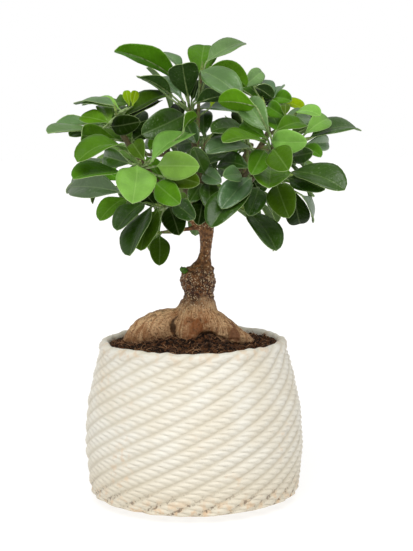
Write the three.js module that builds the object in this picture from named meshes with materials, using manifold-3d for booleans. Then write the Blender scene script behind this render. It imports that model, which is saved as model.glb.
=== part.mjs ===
// A ficus ginseng bonsai in a round pot with a twisted-rope relief.
// Millimetres, +Z up, front towards -Y. The origin is the middle of the pot's base, on the table.

import * as THREE from 'three';
import { mergeVertices } from 'three/addons/utils/BufferGeometryUtils.js';
import Module from 'manifold-3d';

const wasm = await Module();
wasm.setup();

// Driving dimensions

const GAP = 0.3;                  // clearance between pieces that touch

const POT_HEIGHT = 110;
const POT_BELLY_RADIUS = 75.2;    // widest, over the ropes
const POT_BELLY_Z = 43;
const POT_SHOULDER_Z = 101;
const POT_SHOULDER_RADIUS = 65;
const POT_SHOULDER_CURVE = 1.87;  // powers that shape the profile above and below the belly
const POT_DROP_CURVE = 1.8;
const POT_FOOT_CURVE = 1.45;
const POT_FOOT_DROP = 4.3;        // how much narrower the body is at the table
const POT_FOOT_ROUND = 6.5;       // height of the rounded foot
const POT_FOOT_INSET = 19;
const RIM_ROUND = 5;              // height of the rounded outer rim
const RIM_INSET = 4.4;
const MOUTH_RADIUS = 58;
const MOUTH_ROUND = 2.8;
const WALL = 8;
const FLOOR = 9;

const ROPES = 24;
const ROPE_RELIEF = 2;
const ROPE_LEAN = 0.0273;         // radians round the pot for each millimetre up
const ROPE_TURN = 0.1125;         // where a groove starts, right of the front
const ROPE_ROUNDNESS = 0.6;       // under 1 keeps the crest of a rope broad
const COLUMNS_PER_ROPE = 3;
const STRAND_STEP = 5.9;          // rows run from strand to groove, larger than life
const STRAND_ROWS = 17;
const STRAND_FIRST_Z = 4.4;
const STRAND_RELIEF = 0.7;
const STRAND_RISE = 3.6;          // how much higher a strand ends than it begins, over a whole rope
const FOOT_FADE_Z = 1.8;          // the ropes start to show here

const CAVITY_LEVELS = [84, 45, FLOOR];

const SOIL_WALL_Z = 107.6;
const SOIL_MOUND = 5.6;
const MOUND_INNER = 16;           // the mound is flat within this radius
const MOUND_OUTER = 54;           // and level with the wall beyond this one
const SOIL_COLUMNS = 36;
const SOIL_RINGS = [47, 33, 18];

const BLADE_THICKNESS = 0.8;
const BLADE_RATIO = 0.47;         // width over length
const BLADE_FOLD = 0.2;           // radians that each half turns up from the midrib
const STALK_WIDTH = 1.7;
const STALK_THICKNESS = 1.5;
const STEM_RADII = [1.6, 1.3, 0.9];
const STEM_TOP = 0.97;            // share of a stem where its top leaf stands
const STEM_LOW = 0.35;            // and its lowest
const LONGEST_BLADE = 53;
const SHORTEST_BLADE = 25;
const TURNED_AWAY = 1.15;         // usual length of a blade over the length that shows
const TURNED_EXTRA = 6;
const BASE_LAG = 0.15;            // share of a blade's depth that its base gives back

// The front viewpoint from which the leaves were laid out: (x, z) in their lists lies in the
// plane y = 0, and a leaf at another depth keeps its place in this view.
const EYE = new THREE.Vector3(9.8, -850, 239);

// Small edges left by joining are closed up, by the first of these lengths that leaves every
// corner in a place of its own.
const FINEST_EDGES = [0.3, 0.2, 0.12, 0.05];

const UP = new THREE.Vector3(0, 0, 1);
const ASKEW = new THREE.Vector3(0.3, 1, 0.2); // along no stem

// Solids

function solidFromGeometry(geometry) {
  const bare = geometry.clone();
  bare.deleteAttribute('normal');
  bare.deleteAttribute('uv');
  const merged = mergeVertices(bare, 1e-3);
  const vertProperties = new Float32Array(merged.getAttribute('position').array);
  const triVerts = new Uint32Array(merged.index.array);
  return new wasm.Manifold(new wasm.Mesh({ numProp: 3, vertProperties, triVerts }));
}

function geometryFromSolid(solid) {
  const mesh = solid.getMesh();
  const geometry = new THREE.BufferGeometry();
  geometry.setAttribute('position', new THREE.BufferAttribute(new Float32Array(mesh.vertProperties), 3));
  geometry.setIndex(new THREE.BufferAttribute(new Uint32Array(mesh.triVerts), 1));
  return geometry;
}

// The one body that carries the node: crumbs cut off by a neighbour are dropped.
function mainBody(solid) {
  const bodies = solid.decompose();
  bodies.sort((a, b) => b.volume() - a.volume());
  return bodies[0];
}

function cornersApart(solid) {
  const { vertProperties } = solid.getMesh();
  const places = new Set();
  for (let i = 0; i < vertProperties.length; i += 3) {
    places.add([0, 1, 2].map((k) => vertProperties[i + k].toFixed(4)).join());
  }
  return places.size * 3 === vertProperties.length;
}

function closedUp(solid) {
  const whole = solid.asOriginal();
  const choices = FINEST_EDGES.map((edge) => whole.simplify(edge));
  return choices.find(cornersApart) ?? whole;
}

function unionOf(solids) {
  return closedUp(wasm.Manifold.union(solids));
}

function smoothStep(low, high, value) {
  const t = THREE.MathUtils.clamp((value - low) / (high - low), 0, 1);
  return t * t * (3 - 2 * t);
}

// A repeatable draw between 0 and 1 for a numbered leaf or lump.
function draw(number) {
  const value = Math.sin(number * 12.9898) * 43758.5453;
  return value - Math.floor(value);
}

// Tapered limbs: stems, branches and roots

// grow adds to the radius all along and to both ends.
function limbGeometry(points, radii, sides, steps, grow) {
  const curve = new THREE.CatmullRomCurve3(points.map((p) => new THREE.Vector3(...p)));
  const frames = curve.computeFrenetFrames(steps, false);
  const geometry = new THREE.CylinderGeometry(1, 1, 1, sides, steps);
  const position = geometry.getAttribute('position');
  const local = new THREE.Vector3();
  for (let i = 0; i < position.count; i += 1) {
    local.fromBufferAttribute(position, i);
    const along = THREE.MathUtils.clamp(local.y + 0.5, 0, 1);
    const step = Math.round(along * steps);
    const radius = radiusAlong(radii, step / steps) + grow;
    const place = curve.getPointAt(step / steps);
    place.addScaledVector(frames.normals[step], local.z * radius);
    place.addScaledVector(frames.binormals[step], local.x * radius);
    place.addScaledVector(frames.tangents[step], endPush(step, steps) * grow);
    position.setXYZ(i, place.x, place.y, place.z);
  }
  return geometry;
}

function endPush(step, last) {
  if (step === 0) {
    return -1;
  }
  return step === last ? 1 : 0;
}

function radiusAlong(radii, along) {
  const reach = along * (radii.length - 1);
  const index = Math.min(Math.floor(reach), radii.length - 2);
  return THREE.MathUtils.lerp(radii[index], radii[index + 1], reach - index);
}

function limb(points, radii, sides, steps, grow = 0) {
  return solidFromGeometry(limbGeometry(points, radii, sides, steps, grow));
}

// Pot

function potRadius(z) {
  if (z > POT_SHOULDER_Z) {
    const rise = Math.max(0, (z - (POT_HEIGHT - RIM_ROUND)) / RIM_ROUND);
    return POT_SHOULDER_RADIUS - RIM_INSET * (1 - Math.sqrt(Math.max(0, 1 - rise * rise)));
  }
  if (z > POT_BELLY_Z) {
    const reach = (z - POT_BELLY_Z) / (POT_SHOULDER_Z - POT_BELLY_Z);
    return THREE.MathUtils.lerp(POT_BELLY_RADIUS, POT_SHOULDER_RADIUS, reach ** POT_SHOULDER_CURVE);
  }
  const drop = (POT_BELLY_Z - z) / POT_BELLY_Z;
  const foot = Math.max(0, (POT_FOOT_ROUND - z) / POT_FOOT_ROUND);
  const narrowing = POT_FOOT_DROP * drop ** POT_DROP_CURVE;
  return POT_BELLY_RADIUS - narrowing - POT_FOOT_INSET * foot ** POT_FOOT_CURVE;
}

function cavityRadius(z) {
  return Math.max(MOUTH_RADIUS, Math.min(potRadius(z), POT_BELLY_RADIUS) - WALL);
}

// Rows of the pot's profile from the middle of its base, up the outside, over the rim and
// down to the middle of its floor. relief fades to nothing under the foot and inside.
function potRows() {
  const rows = [{ r: 0, z: 0, relief: 0 }];
  rows.push({ r: potRadius(0), z: 0, relief: 0 });
  rows.push({ r: potRadius(FOOT_FADE_Z), z: FOOT_FADE_Z, relief: 0.5 });
  for (let i = 0; i < STRAND_ROWS; i += 1) {
    const z = STRAND_FIRST_Z + i * STRAND_STEP;
    rows.push({ r: potRadius(z), z, relief: 1, strand: i % 2 });
  }
  const rimStart = POT_HEIGHT - RIM_ROUND;
  const rimTurn = POT_HEIGHT - RIM_ROUND / 3;
  rows.push({ r: potRadius(rimStart), z: rimStart, relief: 1 });
  rows.push({ r: potRadius(rimTurn), z: rimTurn, relief: 0.7 });
  rows.push({ r: MOUTH_RADIUS + MOUTH_ROUND, z: POT_HEIGHT, relief: 0.2 });
  rows.push({ r: MOUTH_RADIUS + MOUTH_ROUND / 5, z: POT_HEIGHT - MOUTH_ROUND / 3, relief: 0 });
  rows.push({ r: MOUTH_RADIUS, z: POT_HEIGHT - MOUTH_ROUND, relief: 0 });
  for (const z of CAVITY_LEVELS) {
    rows.push({ r: cavityRadius(z), z, relief: 0, inside: true });
  }
  rows.push({ r: 0, z: FLOOR, relief: 0, inside: true });
  return rows;
}

function ropePot() {
  const columns = ROPES * COLUMNS_PER_ROPE;
  const rows = potRows();
  const profile = rows.map((row) => new THREE.Vector2(row.r, row.z));
  const geometry = new THREE.LatheGeometry(profile, columns);
  const position = geometry.getAttribute('position');
  for (let column = 0; column <= columns; column += 1) {
    const across = (column % COLUMNS_PER_ROPE) / COLUMNS_PER_ROPE;
    const crest = across > 0 ? Math.sin(Math.PI * across) ** ROPE_ROUNDNESS : 0;
    const lift = across > 0 ? (0.5 - across) * STRAND_RISE : 0;
    for (let row = 0; row < rows.length; row += 1) {
      const { r, z, relief, strand, inside } = rows[row];
      const lean = (inside ? POT_HEIGHT : z) * ROPE_LEAN;
      const angle = ((column % columns) / columns) * 2 * Math.PI + lean + ROPE_TURN;
      const furrow = strand === 1 && across > 0 ? STRAND_RELIEF : 0;
      const radius = r - relief * ROPE_RELIEF * (1 - crest) - furrow;
      const height = strand === undefined ? z : z + lift;
      const index = column * rows.length + row;
      position.setXYZ(index, radius * Math.cos(angle), radius * Math.sin(angle), height);
    }
  }
  return solidFromGeometry(geometry);
}

// Plant body: roots, graft collar, neck and branches

// Sections of the stock: height, middle x, half width along x, half depth along y.
const STOCK = [
  [99, 0, 15, 13],
  [112, 0, 19, 15.5],
  [123, 0.5, 18, 14.5],
  [129.5, 1.8, 15.4, 13.2],
  [134.5, 3.4, 12.8, 11.6],
  [139, 4, 10.4, 10],
  [143, 4.4, 10, 9.6],
  [149.5, 4, 11.7, 10.8],
  [155, 3.9, 11.4, 10.6],
  [158.5, 4.9, 9.4, 9],
  [161.5, 6.8, 6.6, 6.8],
  [165, 8.1, 4.8, 5],
  [170, 9.2, 3.9, 4.2],
  [177, 9.9, 4.2, 4.3],
  [184, 10, 5.1, 4.9],
  [190, 9.6, 5.2, 5],
];
const STOCK_DEPTH = -2;           // the stock stands a little in front of the pot's middle
const KNOB_LOW = 141;             // the collar's lumps lie between these heights
const KNOB_HIGH = 160;
const KNOB = 1.3;                 // and are this high
const SMOOTHER = 0.35;            // share of that height on the rest of the stock
const STOCK_SIDES = 12;
const ROOT_SIDES = 8;
const BRANCH_SIDES = 6;
const STEM_SIDES = 5;
const STEM_STEPS = 3;

function stock(grow) {
  const sides = STOCK_SIDES;
  const geometry = new THREE.CylinderGeometry(1, 1, 1, sides, STOCK.length - 1);
  const position = geometry.getAttribute('position');
  for (let i = 0; i < position.count; i += 1) {
    const along = THREE.MathUtils.clamp(position.getY(i) + 0.5, 0, 1);
    const section = Math.round(along * (STOCK.length - 1));
    const [z, middle, halfWidth, halfDepth] = STOCK[section];
    const side = Math.round((Math.atan2(position.getX(i), position.getZ(i)) / (2 * Math.PI)) * sides);
    const knobby = z > KNOB_LOW && z < KNOB_HIGH ? 1 : SMOOTHER;
    const lump = (draw(section * 17 + ((side + sides) % sides)) - 0.5) * KNOB * knobby;
    const x = middle + position.getX(i) * (halfWidth + lump + grow);
    const y = STOCK_DEPTH - position.getZ(i) * (halfDepth + lump + grow);
    position.setXYZ(i, x, y, z + endPush(section, STOCK.length - 1) * grow);
  }
  return solidFromGeometry(geometry);
}

// Swollen roots: the points of each middle line with the radius there.
const ROOTS = [
  [[-3, -2, 123, 9], [-13, -4, 119.8, 12.4], [-24, -5, 117.6, 12.9], [-33, -5, 113.4, 12],
    [-40, -4.5, 107, 9.4], [-45, -4, 99, 6.4]],
  [[-1, -5, 130, 8.5], [-2, -9, 124, 10.4], [-2.5, -12.5, 117, 10.6], [-2, -15.5, 108, 9], [-1, -17, 99, 6]],
  [[5, -3, 127, 9], [14, -7, 120, 10.2], [22.5, -9, 115.4, 9], [31, -8.5, 111.2, 7], [37.5, -7, 107.4, 5.5],
    [42, -5, 100, 4]],
  [[1, 4, 125, 9], [-7, 14, 119, 9.4], [-15, 24, 111, 7.6], [-21, 31, 101, 4.6]],
  [[7, 4, 125, 8.6], [17, 13, 118, 8.6], [27, 21, 110, 7], [34, 27, 101, 4.4]],
  [[-8, 4, 121, 9], [-20, 10, 115, 8], [-30, 16, 107.6, 6.2], [-36, 20, 100, 4.2]],
];

function roots(grow) {
  return ROOTS.map((line) => {
    const points = line.map(([x, y, z]) => [x, y, z]);
    const radii = line.map(([, , , r]) => r);
    return limb(points, radii, ROOT_SIDES, line.length + 2, grow);
  });
}

// Branches: the points of each middle line with the radius there.
const BRANCHES = {
  leader: [[9.6, -2, 184, 4.6], [8.6, 1, 200, 4], [6.5, 3, 220, 3.4], [3.5, 3, 240, 2.8], [1.5, 2, 252, 2.3]],
  left: [[8, -3, 186, 3.6], [-1, -7, 195, 3.5], [-13, -14, 204, 3.2], [-25, -25, 216, 2.8], [-32, -36, 227, 2.3]],
  leftHigh: [[-11, -13, 202, 2.6], [-25, -11, 220, 2.5], [-38, -7, 238, 2.2], [-46, -10, 251, 1.9]],
  right: [[11, -3, 187, 3.6], [20, -6, 198, 3.5], [31, -14, 210, 3.2], [42, -29, 223, 2.7], [49, -43, 233, 2.2]],
  rightHigh: [[18, -5, 196, 2.8], [33, 1, 217, 2.6], [46, 6, 238, 2.3], [54, 6, 252, 1.9]],
  backLeft: [[8, 0, 188, 3.4], [3, 15, 203, 3.2], [-9, 31, 221, 2.8], [-18, 42, 240, 2.2]],
  backRight: [[10, 0, 190, 3.2], [20, 18, 206, 3], [34, 34, 226, 2.6], [43, 43, 243, 2.1]],
  twig: [[7, -3, 187, 1.7], [-5, -6, 185.6, 1.3], [-16, -8, 184, 1.1]],
};

function branches(grow) {
  return Object.values(BRANCHES).map((line) => {
    const points = line.map(([x, y, z]) => [x, y, z]);
    const radii = line.map(([, , , r]) => r);
    return limb(points, radii, BRANCH_SIDES, line.length + 1, grow);
  });
}

// The green bud that sits on the collar's left shoulder.
const BUD = [[-3, -6, 156.2], [-4.8, -6.8, 157.4], [-6.4, -7.3, 158.6], [-7.6, -7.6, 159.8]];
const BUD_RADII = [2, 2.3, 2, 0.9];

function collarBud(grow) {
  return limb(BUD, BUD_RADII, BRANCH_SIDES, BUD.length - 1, grow);
}

function plantBody(grow = 0) {
  return unionOf([stock(grow), ...roots(grow), ...branches(grow), collarBud(grow)]);
}

// Soil

// The soil's gentle unevenness: waves along x and y, and one across both.
const CLOD_WAVES = { x: 0.37, y: 0.31, both: 0.19 };
const CLOD_HEIGHTS = [0.5, 0.4];
const SMOOTH_WALL = [50, 57];     // it fades out towards the wall between these radii

function soilTop(x, y) {
  const radius = Math.hypot(x, y);
  const mound = SOIL_MOUND * (1 - smoothStep(MOUND_INNER, MOUND_OUTER, radius));
  const crossed = Math.sin(x * CLOD_WAVES.x + 1) * Math.cos(y * CLOD_WAVES.y);
  const slanted = Math.sin((x + y) * CLOD_WAVES.both);
  const clods = crossed * CLOD_HEIGHTS[0] + slanted * CLOD_HEIGHTS[1];
  return SOIL_WALL_Z + mound + clods * (1 - smoothStep(...SMOOTH_WALL, radius));
}

function soilBody(rootHoles) {
  const bottom = FLOOR + GAP;
  const levels = [bottom, ...CAVITY_LEVELS.filter((z) => z > bottom).reverse()];
  const profile = [new THREE.Vector2(0, bottom)];
  for (const z of levels) {
    profile.push(new THREE.Vector2(cavityRadius(z) - 2 * GAP, z));
  }
  const wall = MOUTH_RADIUS - GAP;
  for (const radius of [wall, ...SOIL_RINGS, 0]) {
    profile.push(new THREE.Vector2(radius, SOIL_WALL_Z));
  }
  const geometry = new THREE.LatheGeometry(profile, SOIL_COLUMNS);
  const position = geometry.getAttribute('position');
  for (let i = 0; i < position.count; i += 1) {
    const x = position.getX(i);
    const y = -position.getZ(i);
    const level = position.getY(i);
    position.setXYZ(i, x, y, level > levels.at(-1) ? soilTop(x, y) : level);
  }
  return mainBody(closedUp(solidFromGeometry(geometry).subtract(rootHoles)));
}

// Leaves

// A point at depth y that lines up with (x, z) from the front viewpoint.
function seen(x, z, y) {
  const scale = (y - EYE.y) / -EYE.y;
  return new THREE.Vector3(EYE.x + (x - EYE.x) * scale, y, EYE.z + (z - EYE.z) * scale);
}

// Half width of a blade from its base (0) to its blunt tip (1): widest beyond the middle.
const OUTLINE_SHIFT = 1.3;
const OUTLINE_FULLNESS = 0.66;

function outline(s) {
  return Math.max(0, Math.sin(Math.PI * s ** OUTLINE_SHIFT)) ** OUTLINE_FULLNESS;
}

const STATIONS = [0.25, 0.58, 0.87];
const FEWER_STATIONS = [0.32, 0.76]; // on blades seen edge-on and on the shoots at the back
const NARROW_VIEW = 6.5;

// pose: foot on the stem, base and tip of the blade, upper normal, width, arch, and the shares
// of the length where the blade bends. grow thickens the leaf all round, for testing what it
// would touch. The stalk's two sections are turned to face along it.
function leafGeometry(pose, grow = 0, withStalk = true) {
  const axis = new THREE.Vector3().subVectors(pose.tip, pose.base);
  const length = axis.length();
  axis.normalize();
  const side = new THREE.Vector3().crossVectors(axis, pose.normal).normalize();
  const half = BLADE_THICKNESS / 2 + grow;
  const rows = [];
  const addRow = (centre, normal, halfWidth, folded, thickness, turn) => {
    const raise = folded ? Math.sin(BLADE_FOLD) * halfWidth : 0;
    const spread = folded ? Math.cos(BLADE_FOLD) * halfWidth : halfWidth;
    const up = turn ? normal.clone().applyQuaternion(turn) : normal;
    const out = turn ? side.clone().applyQuaternion(turn) : side;
    const edge = (sign) => centre.clone().addScaledVector(out, sign * spread).addScaledVector(up, raise);
    let line = [edge(-1), edge(1)];
    if (folded) {
      line = [line[0], centre.clone(), line[1]];
    }
    if (halfWidth === 0) {
      line = [centre.clone()];
    }
    rows.push({
      top: line.map((p) => p.clone().addScaledVector(up, thickness)),
      bottom: line.map((p) => p.clone().addScaledVector(up, -thickness)),
    });
  };
  const spine = (s) => {
    const bow = pose.arch * 4 * s * (1 - s);
    return pose.base.clone().addScaledVector(axis, s * length).addScaledVector(pose.normal, bow);
  };
  const slope = (s) => {
    const rise = (pose.arch * 4 * (1 - 2 * s)) / length;
    return pose.normal.clone().addScaledVector(axis, -rise).normalize();
  };
  const stalk = new THREE.Vector3().subVectors(pose.base, pose.foot).normalize();
  const bend = new THREE.Vector3().addVectors(axis, stalk).normalize();
  const footTurn = new THREE.Quaternion().setFromUnitVectors(axis, stalk);
  const bendTurn = new THREE.Quaternion().setFromUnitVectors(axis, bend);
  if (withStalk) {
    addRow(pose.foot, slope(0), STALK_WIDTH / 2 + grow, false, STALK_THICKNESS / 2 + grow, footTurn);
  }
  addRow(spine(0), slope(0), STALK_WIDTH / 2 + grow, false, STALK_THICKNESS / 2 + grow, bendTurn);
  for (const s of pose.stations) {
    addRow(spine(s), slope(s), (pose.width / 2) * outline(s) + grow, true, half);
  }
  addRow(spine(1 + grow / length), slope(1), 0, false, half);
  return rowsGeometry(rows);
}

// Skins rows of points, split alike above and below, into one closed body.
function rowsGeometry(rows) {
  const vertices = [];
  const triangles = [];
  const starts = rows.map((row) => {
    const start = vertices.length;
    vertices.push(...row.top, ...row.bottom);
    return start;
  });
  const face = (a, b, c) => triangles.push(a, c, b);
  const last = rows.length - 1;
  const capStart = starts[0];
  face(capStart, capStart + 1, capStart + 3);
  face(capStart, capStart + 3, capStart + 2);
  for (let i = 0; i < last; i += 1) {
    const near = rows[i].top.length;
    const far = rows[i + 1].top.length;
    for (const [a, b, c] of stripFaces(near, far)) {
      const topOf = ([row, point]) => starts[i + row] + point;
      const bottomOf = ([row, point]) => starts[i + row] + (row === 0 ? near : far) + point;
      face(topOf(a), topOf(b), topOf(c));
      face(bottomOf(a), bottomOf(c), bottomOf(b));
    }
    const leftNear = [starts[i], starts[i] + near];
    const leftFar = [starts[i + 1], starts[i + 1] + far];
    face(leftNear[0], leftNear[1], leftFar[1]);
    face(leftNear[0], leftFar[1], leftFar[0]);
    const rightNear = [starts[i] + near - 1, starts[i] + 2 * near - 1];
    const rightFar = [starts[i + 1] + far - 1, starts[i + 1] + 2 * far - 1];
    face(rightNear[0], rightFar[1], rightNear[1]);
    face(rightNear[0], rightFar[0], rightFar[1]);
  }
  const tip = starts[last];
  if (rows[last].top.length === 2) {
    face(tip, tip + 3, tip + 1);
    face(tip, tip + 2, tip + 3);
  }
  const geometry = new THREE.BufferGeometry();
  const flat = vertices.flatMap((v) => [v.x, v.y, v.z]);
  geometry.setAttribute('position', new THREE.Float32BufferAttribute(flat, 3));
  geometry.setIndex(triangles);
  return geometry;
}

// Triangles between a row of `near` points and a row of `far` points: [row, point] corners.
function stripFaces(near, far) {
  if (near === 2 && far === 2) {
    return [[[0, 0], [1, 0], [1, 1]], [[0, 0], [1, 1], [0, 1]]];
  }
  if (near === 2) {
    return [[[0, 0], [1, 0], [1, 1]], [[0, 0], [1, 1], [0, 1]], [[0, 1], [1, 1], [1, 2]]];
  }
  if (far === 1) {
    return [[[0, 0], [1, 0], [0, 1]], [[0, 1], [1, 0], [0, 2]]];
  }
  return [
    [[0, 0], [1, 0], [0, 1]], [[0, 1], [1, 0], [1, 1]],
    [[0, 1], [1, 1], [0, 2]], [[0, 2], [1, 1], [1, 2]],
  ];
}

// The upper normal that shows `shown` of the blade's width to the front viewpoint, taken as
// the turn nearest to lying face up. A negative share shows the underside.
function normalForView(axis, middle, shown) {
  const level = UP.clone().addScaledVector(axis, -UP.dot(axis));
  if (level.lengthSq() < 1e-4) {
    level.set(0, -1, 0).addScaledVector(axis, axis.y);
  }
  level.normalize();
  const across = new THREE.Vector3().crossVectors(axis, level);
  const view = new THREE.Vector3().subVectors(EYE, middle).normalize();
  const a = level.dot(view);
  const b = across.dot(view);
  const reach = Math.hypot(a, b);
  const lean = Math.atan2(b, a);
  const open = Math.acos(THREE.MathUtils.clamp(shown / Math.max(reach, 1e-6), -1, 1));
  const turns = [lean + open, lean - open].map((t) => Math.atan2(Math.sin(t), Math.cos(t)));
  const turn = Math.abs(turns[0]) < Math.abs(turns[1]) ? turns[0] : turns[1];
  return level.multiplyScalar(Math.cos(turn)).addScaledVector(across, Math.sin(turn)).normalize();
}

// Small moves tried in turn until a leaf is clear of everything already grown: base and tip
// slide along their lines of sight, so the leaf keeps its place in the front view.
const BASE_MOVES = [0, -5, 5, -10, 10, -16, 16];
const TIP_MOVES = [0, -8, 8, -16, 16, -24, 24];
const TIP_COST = 0.7;             // moving a tip matters less than moving a base

function depthMoves() {
  const moves = BASE_MOVES.flatMap((base) => TIP_MOVES.map((tip) => {
    return { base, tip, cost: Math.abs(base) + Math.abs(tip) * TIP_COST };
  }));
  return moves.sort((a, b) => a.cost - b.cost);
}

const DEPTH_MOVES = depthMoves();

const BARELY_MORE = 1.01;         // a blade is at least this much larger than what shows of it

function seenLeafPoses(shoot, stem, index) {
  const leaf = shoot.leaves[index];
  const foot = footOn(stem, index, shoot.leaves.length);
  const [baseX, baseZ, tipX, tipZ, width, arch = 3, reach, blade] = leaf;
  const across = Math.hypot(tipX - baseX, tipZ - baseZ);
  const usual = across * TURNED_AWAY + TURNED_EXTRA;
  const fitting = THREE.MathUtils.clamp(usual, SHORTEST_BLADE, LONGEST_BLADE);
  const length = blade ?? Math.max(across * BARELY_MORE, Math.abs(width) * 2, fitting);
  const full = Math.max(Math.abs(width) * BARELY_MORE, length * BLADE_RATIO);
  const depth = Math.sqrt(Math.max(0, length * length - across * across));
  const stations = Math.abs(width) < NARROW_VIEW ? FEWER_STATIONS : STATIONS;
  const away = reach ?? Math.sign(width) * Math.sign(tipZ - baseZ);
  return DEPTH_MOVES.map((move) => {
    const baseY = shoot.y + away * depth * BASE_LAG + move.base;
    const base = seen(baseX, baseZ, baseY);
    const tip = seen(tipX, tipZ, baseY + away * depth + move.tip);
    const axis = new THREE.Vector3().subVectors(tip, base).normalize();
    const middle = new THREE.Vector3().addVectors(base, tip).multiplyScalar(0.5);
    const normal = normalForView(axis, middle, width / full);
    return { foot, base, tip, normal, width: full, arch, stations };
  });
}

// Leaf stalks leave the stem one below the other, from its tip down.
function footShare(index, count) {
  return THREE.MathUtils.lerp(STEM_TOP, STEM_LOW, index / count);
}

function footOn(stem, index, count) {
  return stem.getPointAt(footShare(index, count));
}

// A shoot that the front hides: its leaves follow each other round the stem by the golden angle.
const GOLDEN_ANGLE = 2.39996;
const SPIRAL_OPEN = [0.75, 1.3];  // radians from the stem, for the top leaf and the lowest
const SPIRAL_LENGTH = [34, 46];
const SPIRAL_STALK = 8;
const SPIRAL_DROOP = 0.3;
const BLADE_DROOP = 0.35;
const SPIRAL_ARCH = 0.1;          // over the blade's length
// Tried in turn until a leaf is clear: turns round the stem, and openings from it.
const SWINGS = [0, 0.3, -0.3, 0.6, -0.6, 0.95, -0.95, 1.3, -1.3];
const LIFTS = [0, 0.25, -0.25, 0.5];

function spiralLeafPoses(stem, seed, index, count) {
  const foot = footOn(stem, index, count);
  const heading = stem.getTangentAt(footShare(index, count));
  const first = new THREE.Vector3().crossVectors(heading, ASKEW).normalize();
  const second = new THREE.Vector3().crossVectors(heading, first);
  const length = THREE.MathUtils.lerp(...SPIRAL_LENGTH, draw(seed + index * 7));
  const width = length * BLADE_RATIO;
  const arch = length * SPIRAL_ARCH;
  const poses = [];
  for (const lift of LIFTS) {
    for (const swing of SWINGS) {
      const turn = seed + index * GOLDEN_ANGLE + swing;
      const open = THREE.MathUtils.lerp(...SPIRAL_OPEN, index / count) + lift;
      const direction = heading.clone().multiplyScalar(Math.cos(open));
      direction.addScaledVector(first, Math.sin(open) * Math.cos(turn));
      direction.addScaledVector(second, Math.sin(open) * Math.sin(turn));
      direction.z -= SPIRAL_DROOP;
      direction.normalize();
      const base = foot.clone().addScaledVector(direction, SPIRAL_STALK);
      const drooped = direction.clone();
      drooped.z -= BLADE_DROOP;
      const tip = base.clone().addScaledVector(drooped.normalize(), length);
      const axis = new THREE.Vector3().subVectors(tip, base).normalize();
      const normal = UP.clone().add(heading);
      normal.addScaledVector(axis, -normal.dot(axis)).normalize();
      poses.push({ foot, base, tip, normal, width, arch, stations: FEWER_STATIONS });
    }
  }
  return poses;
}

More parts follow.
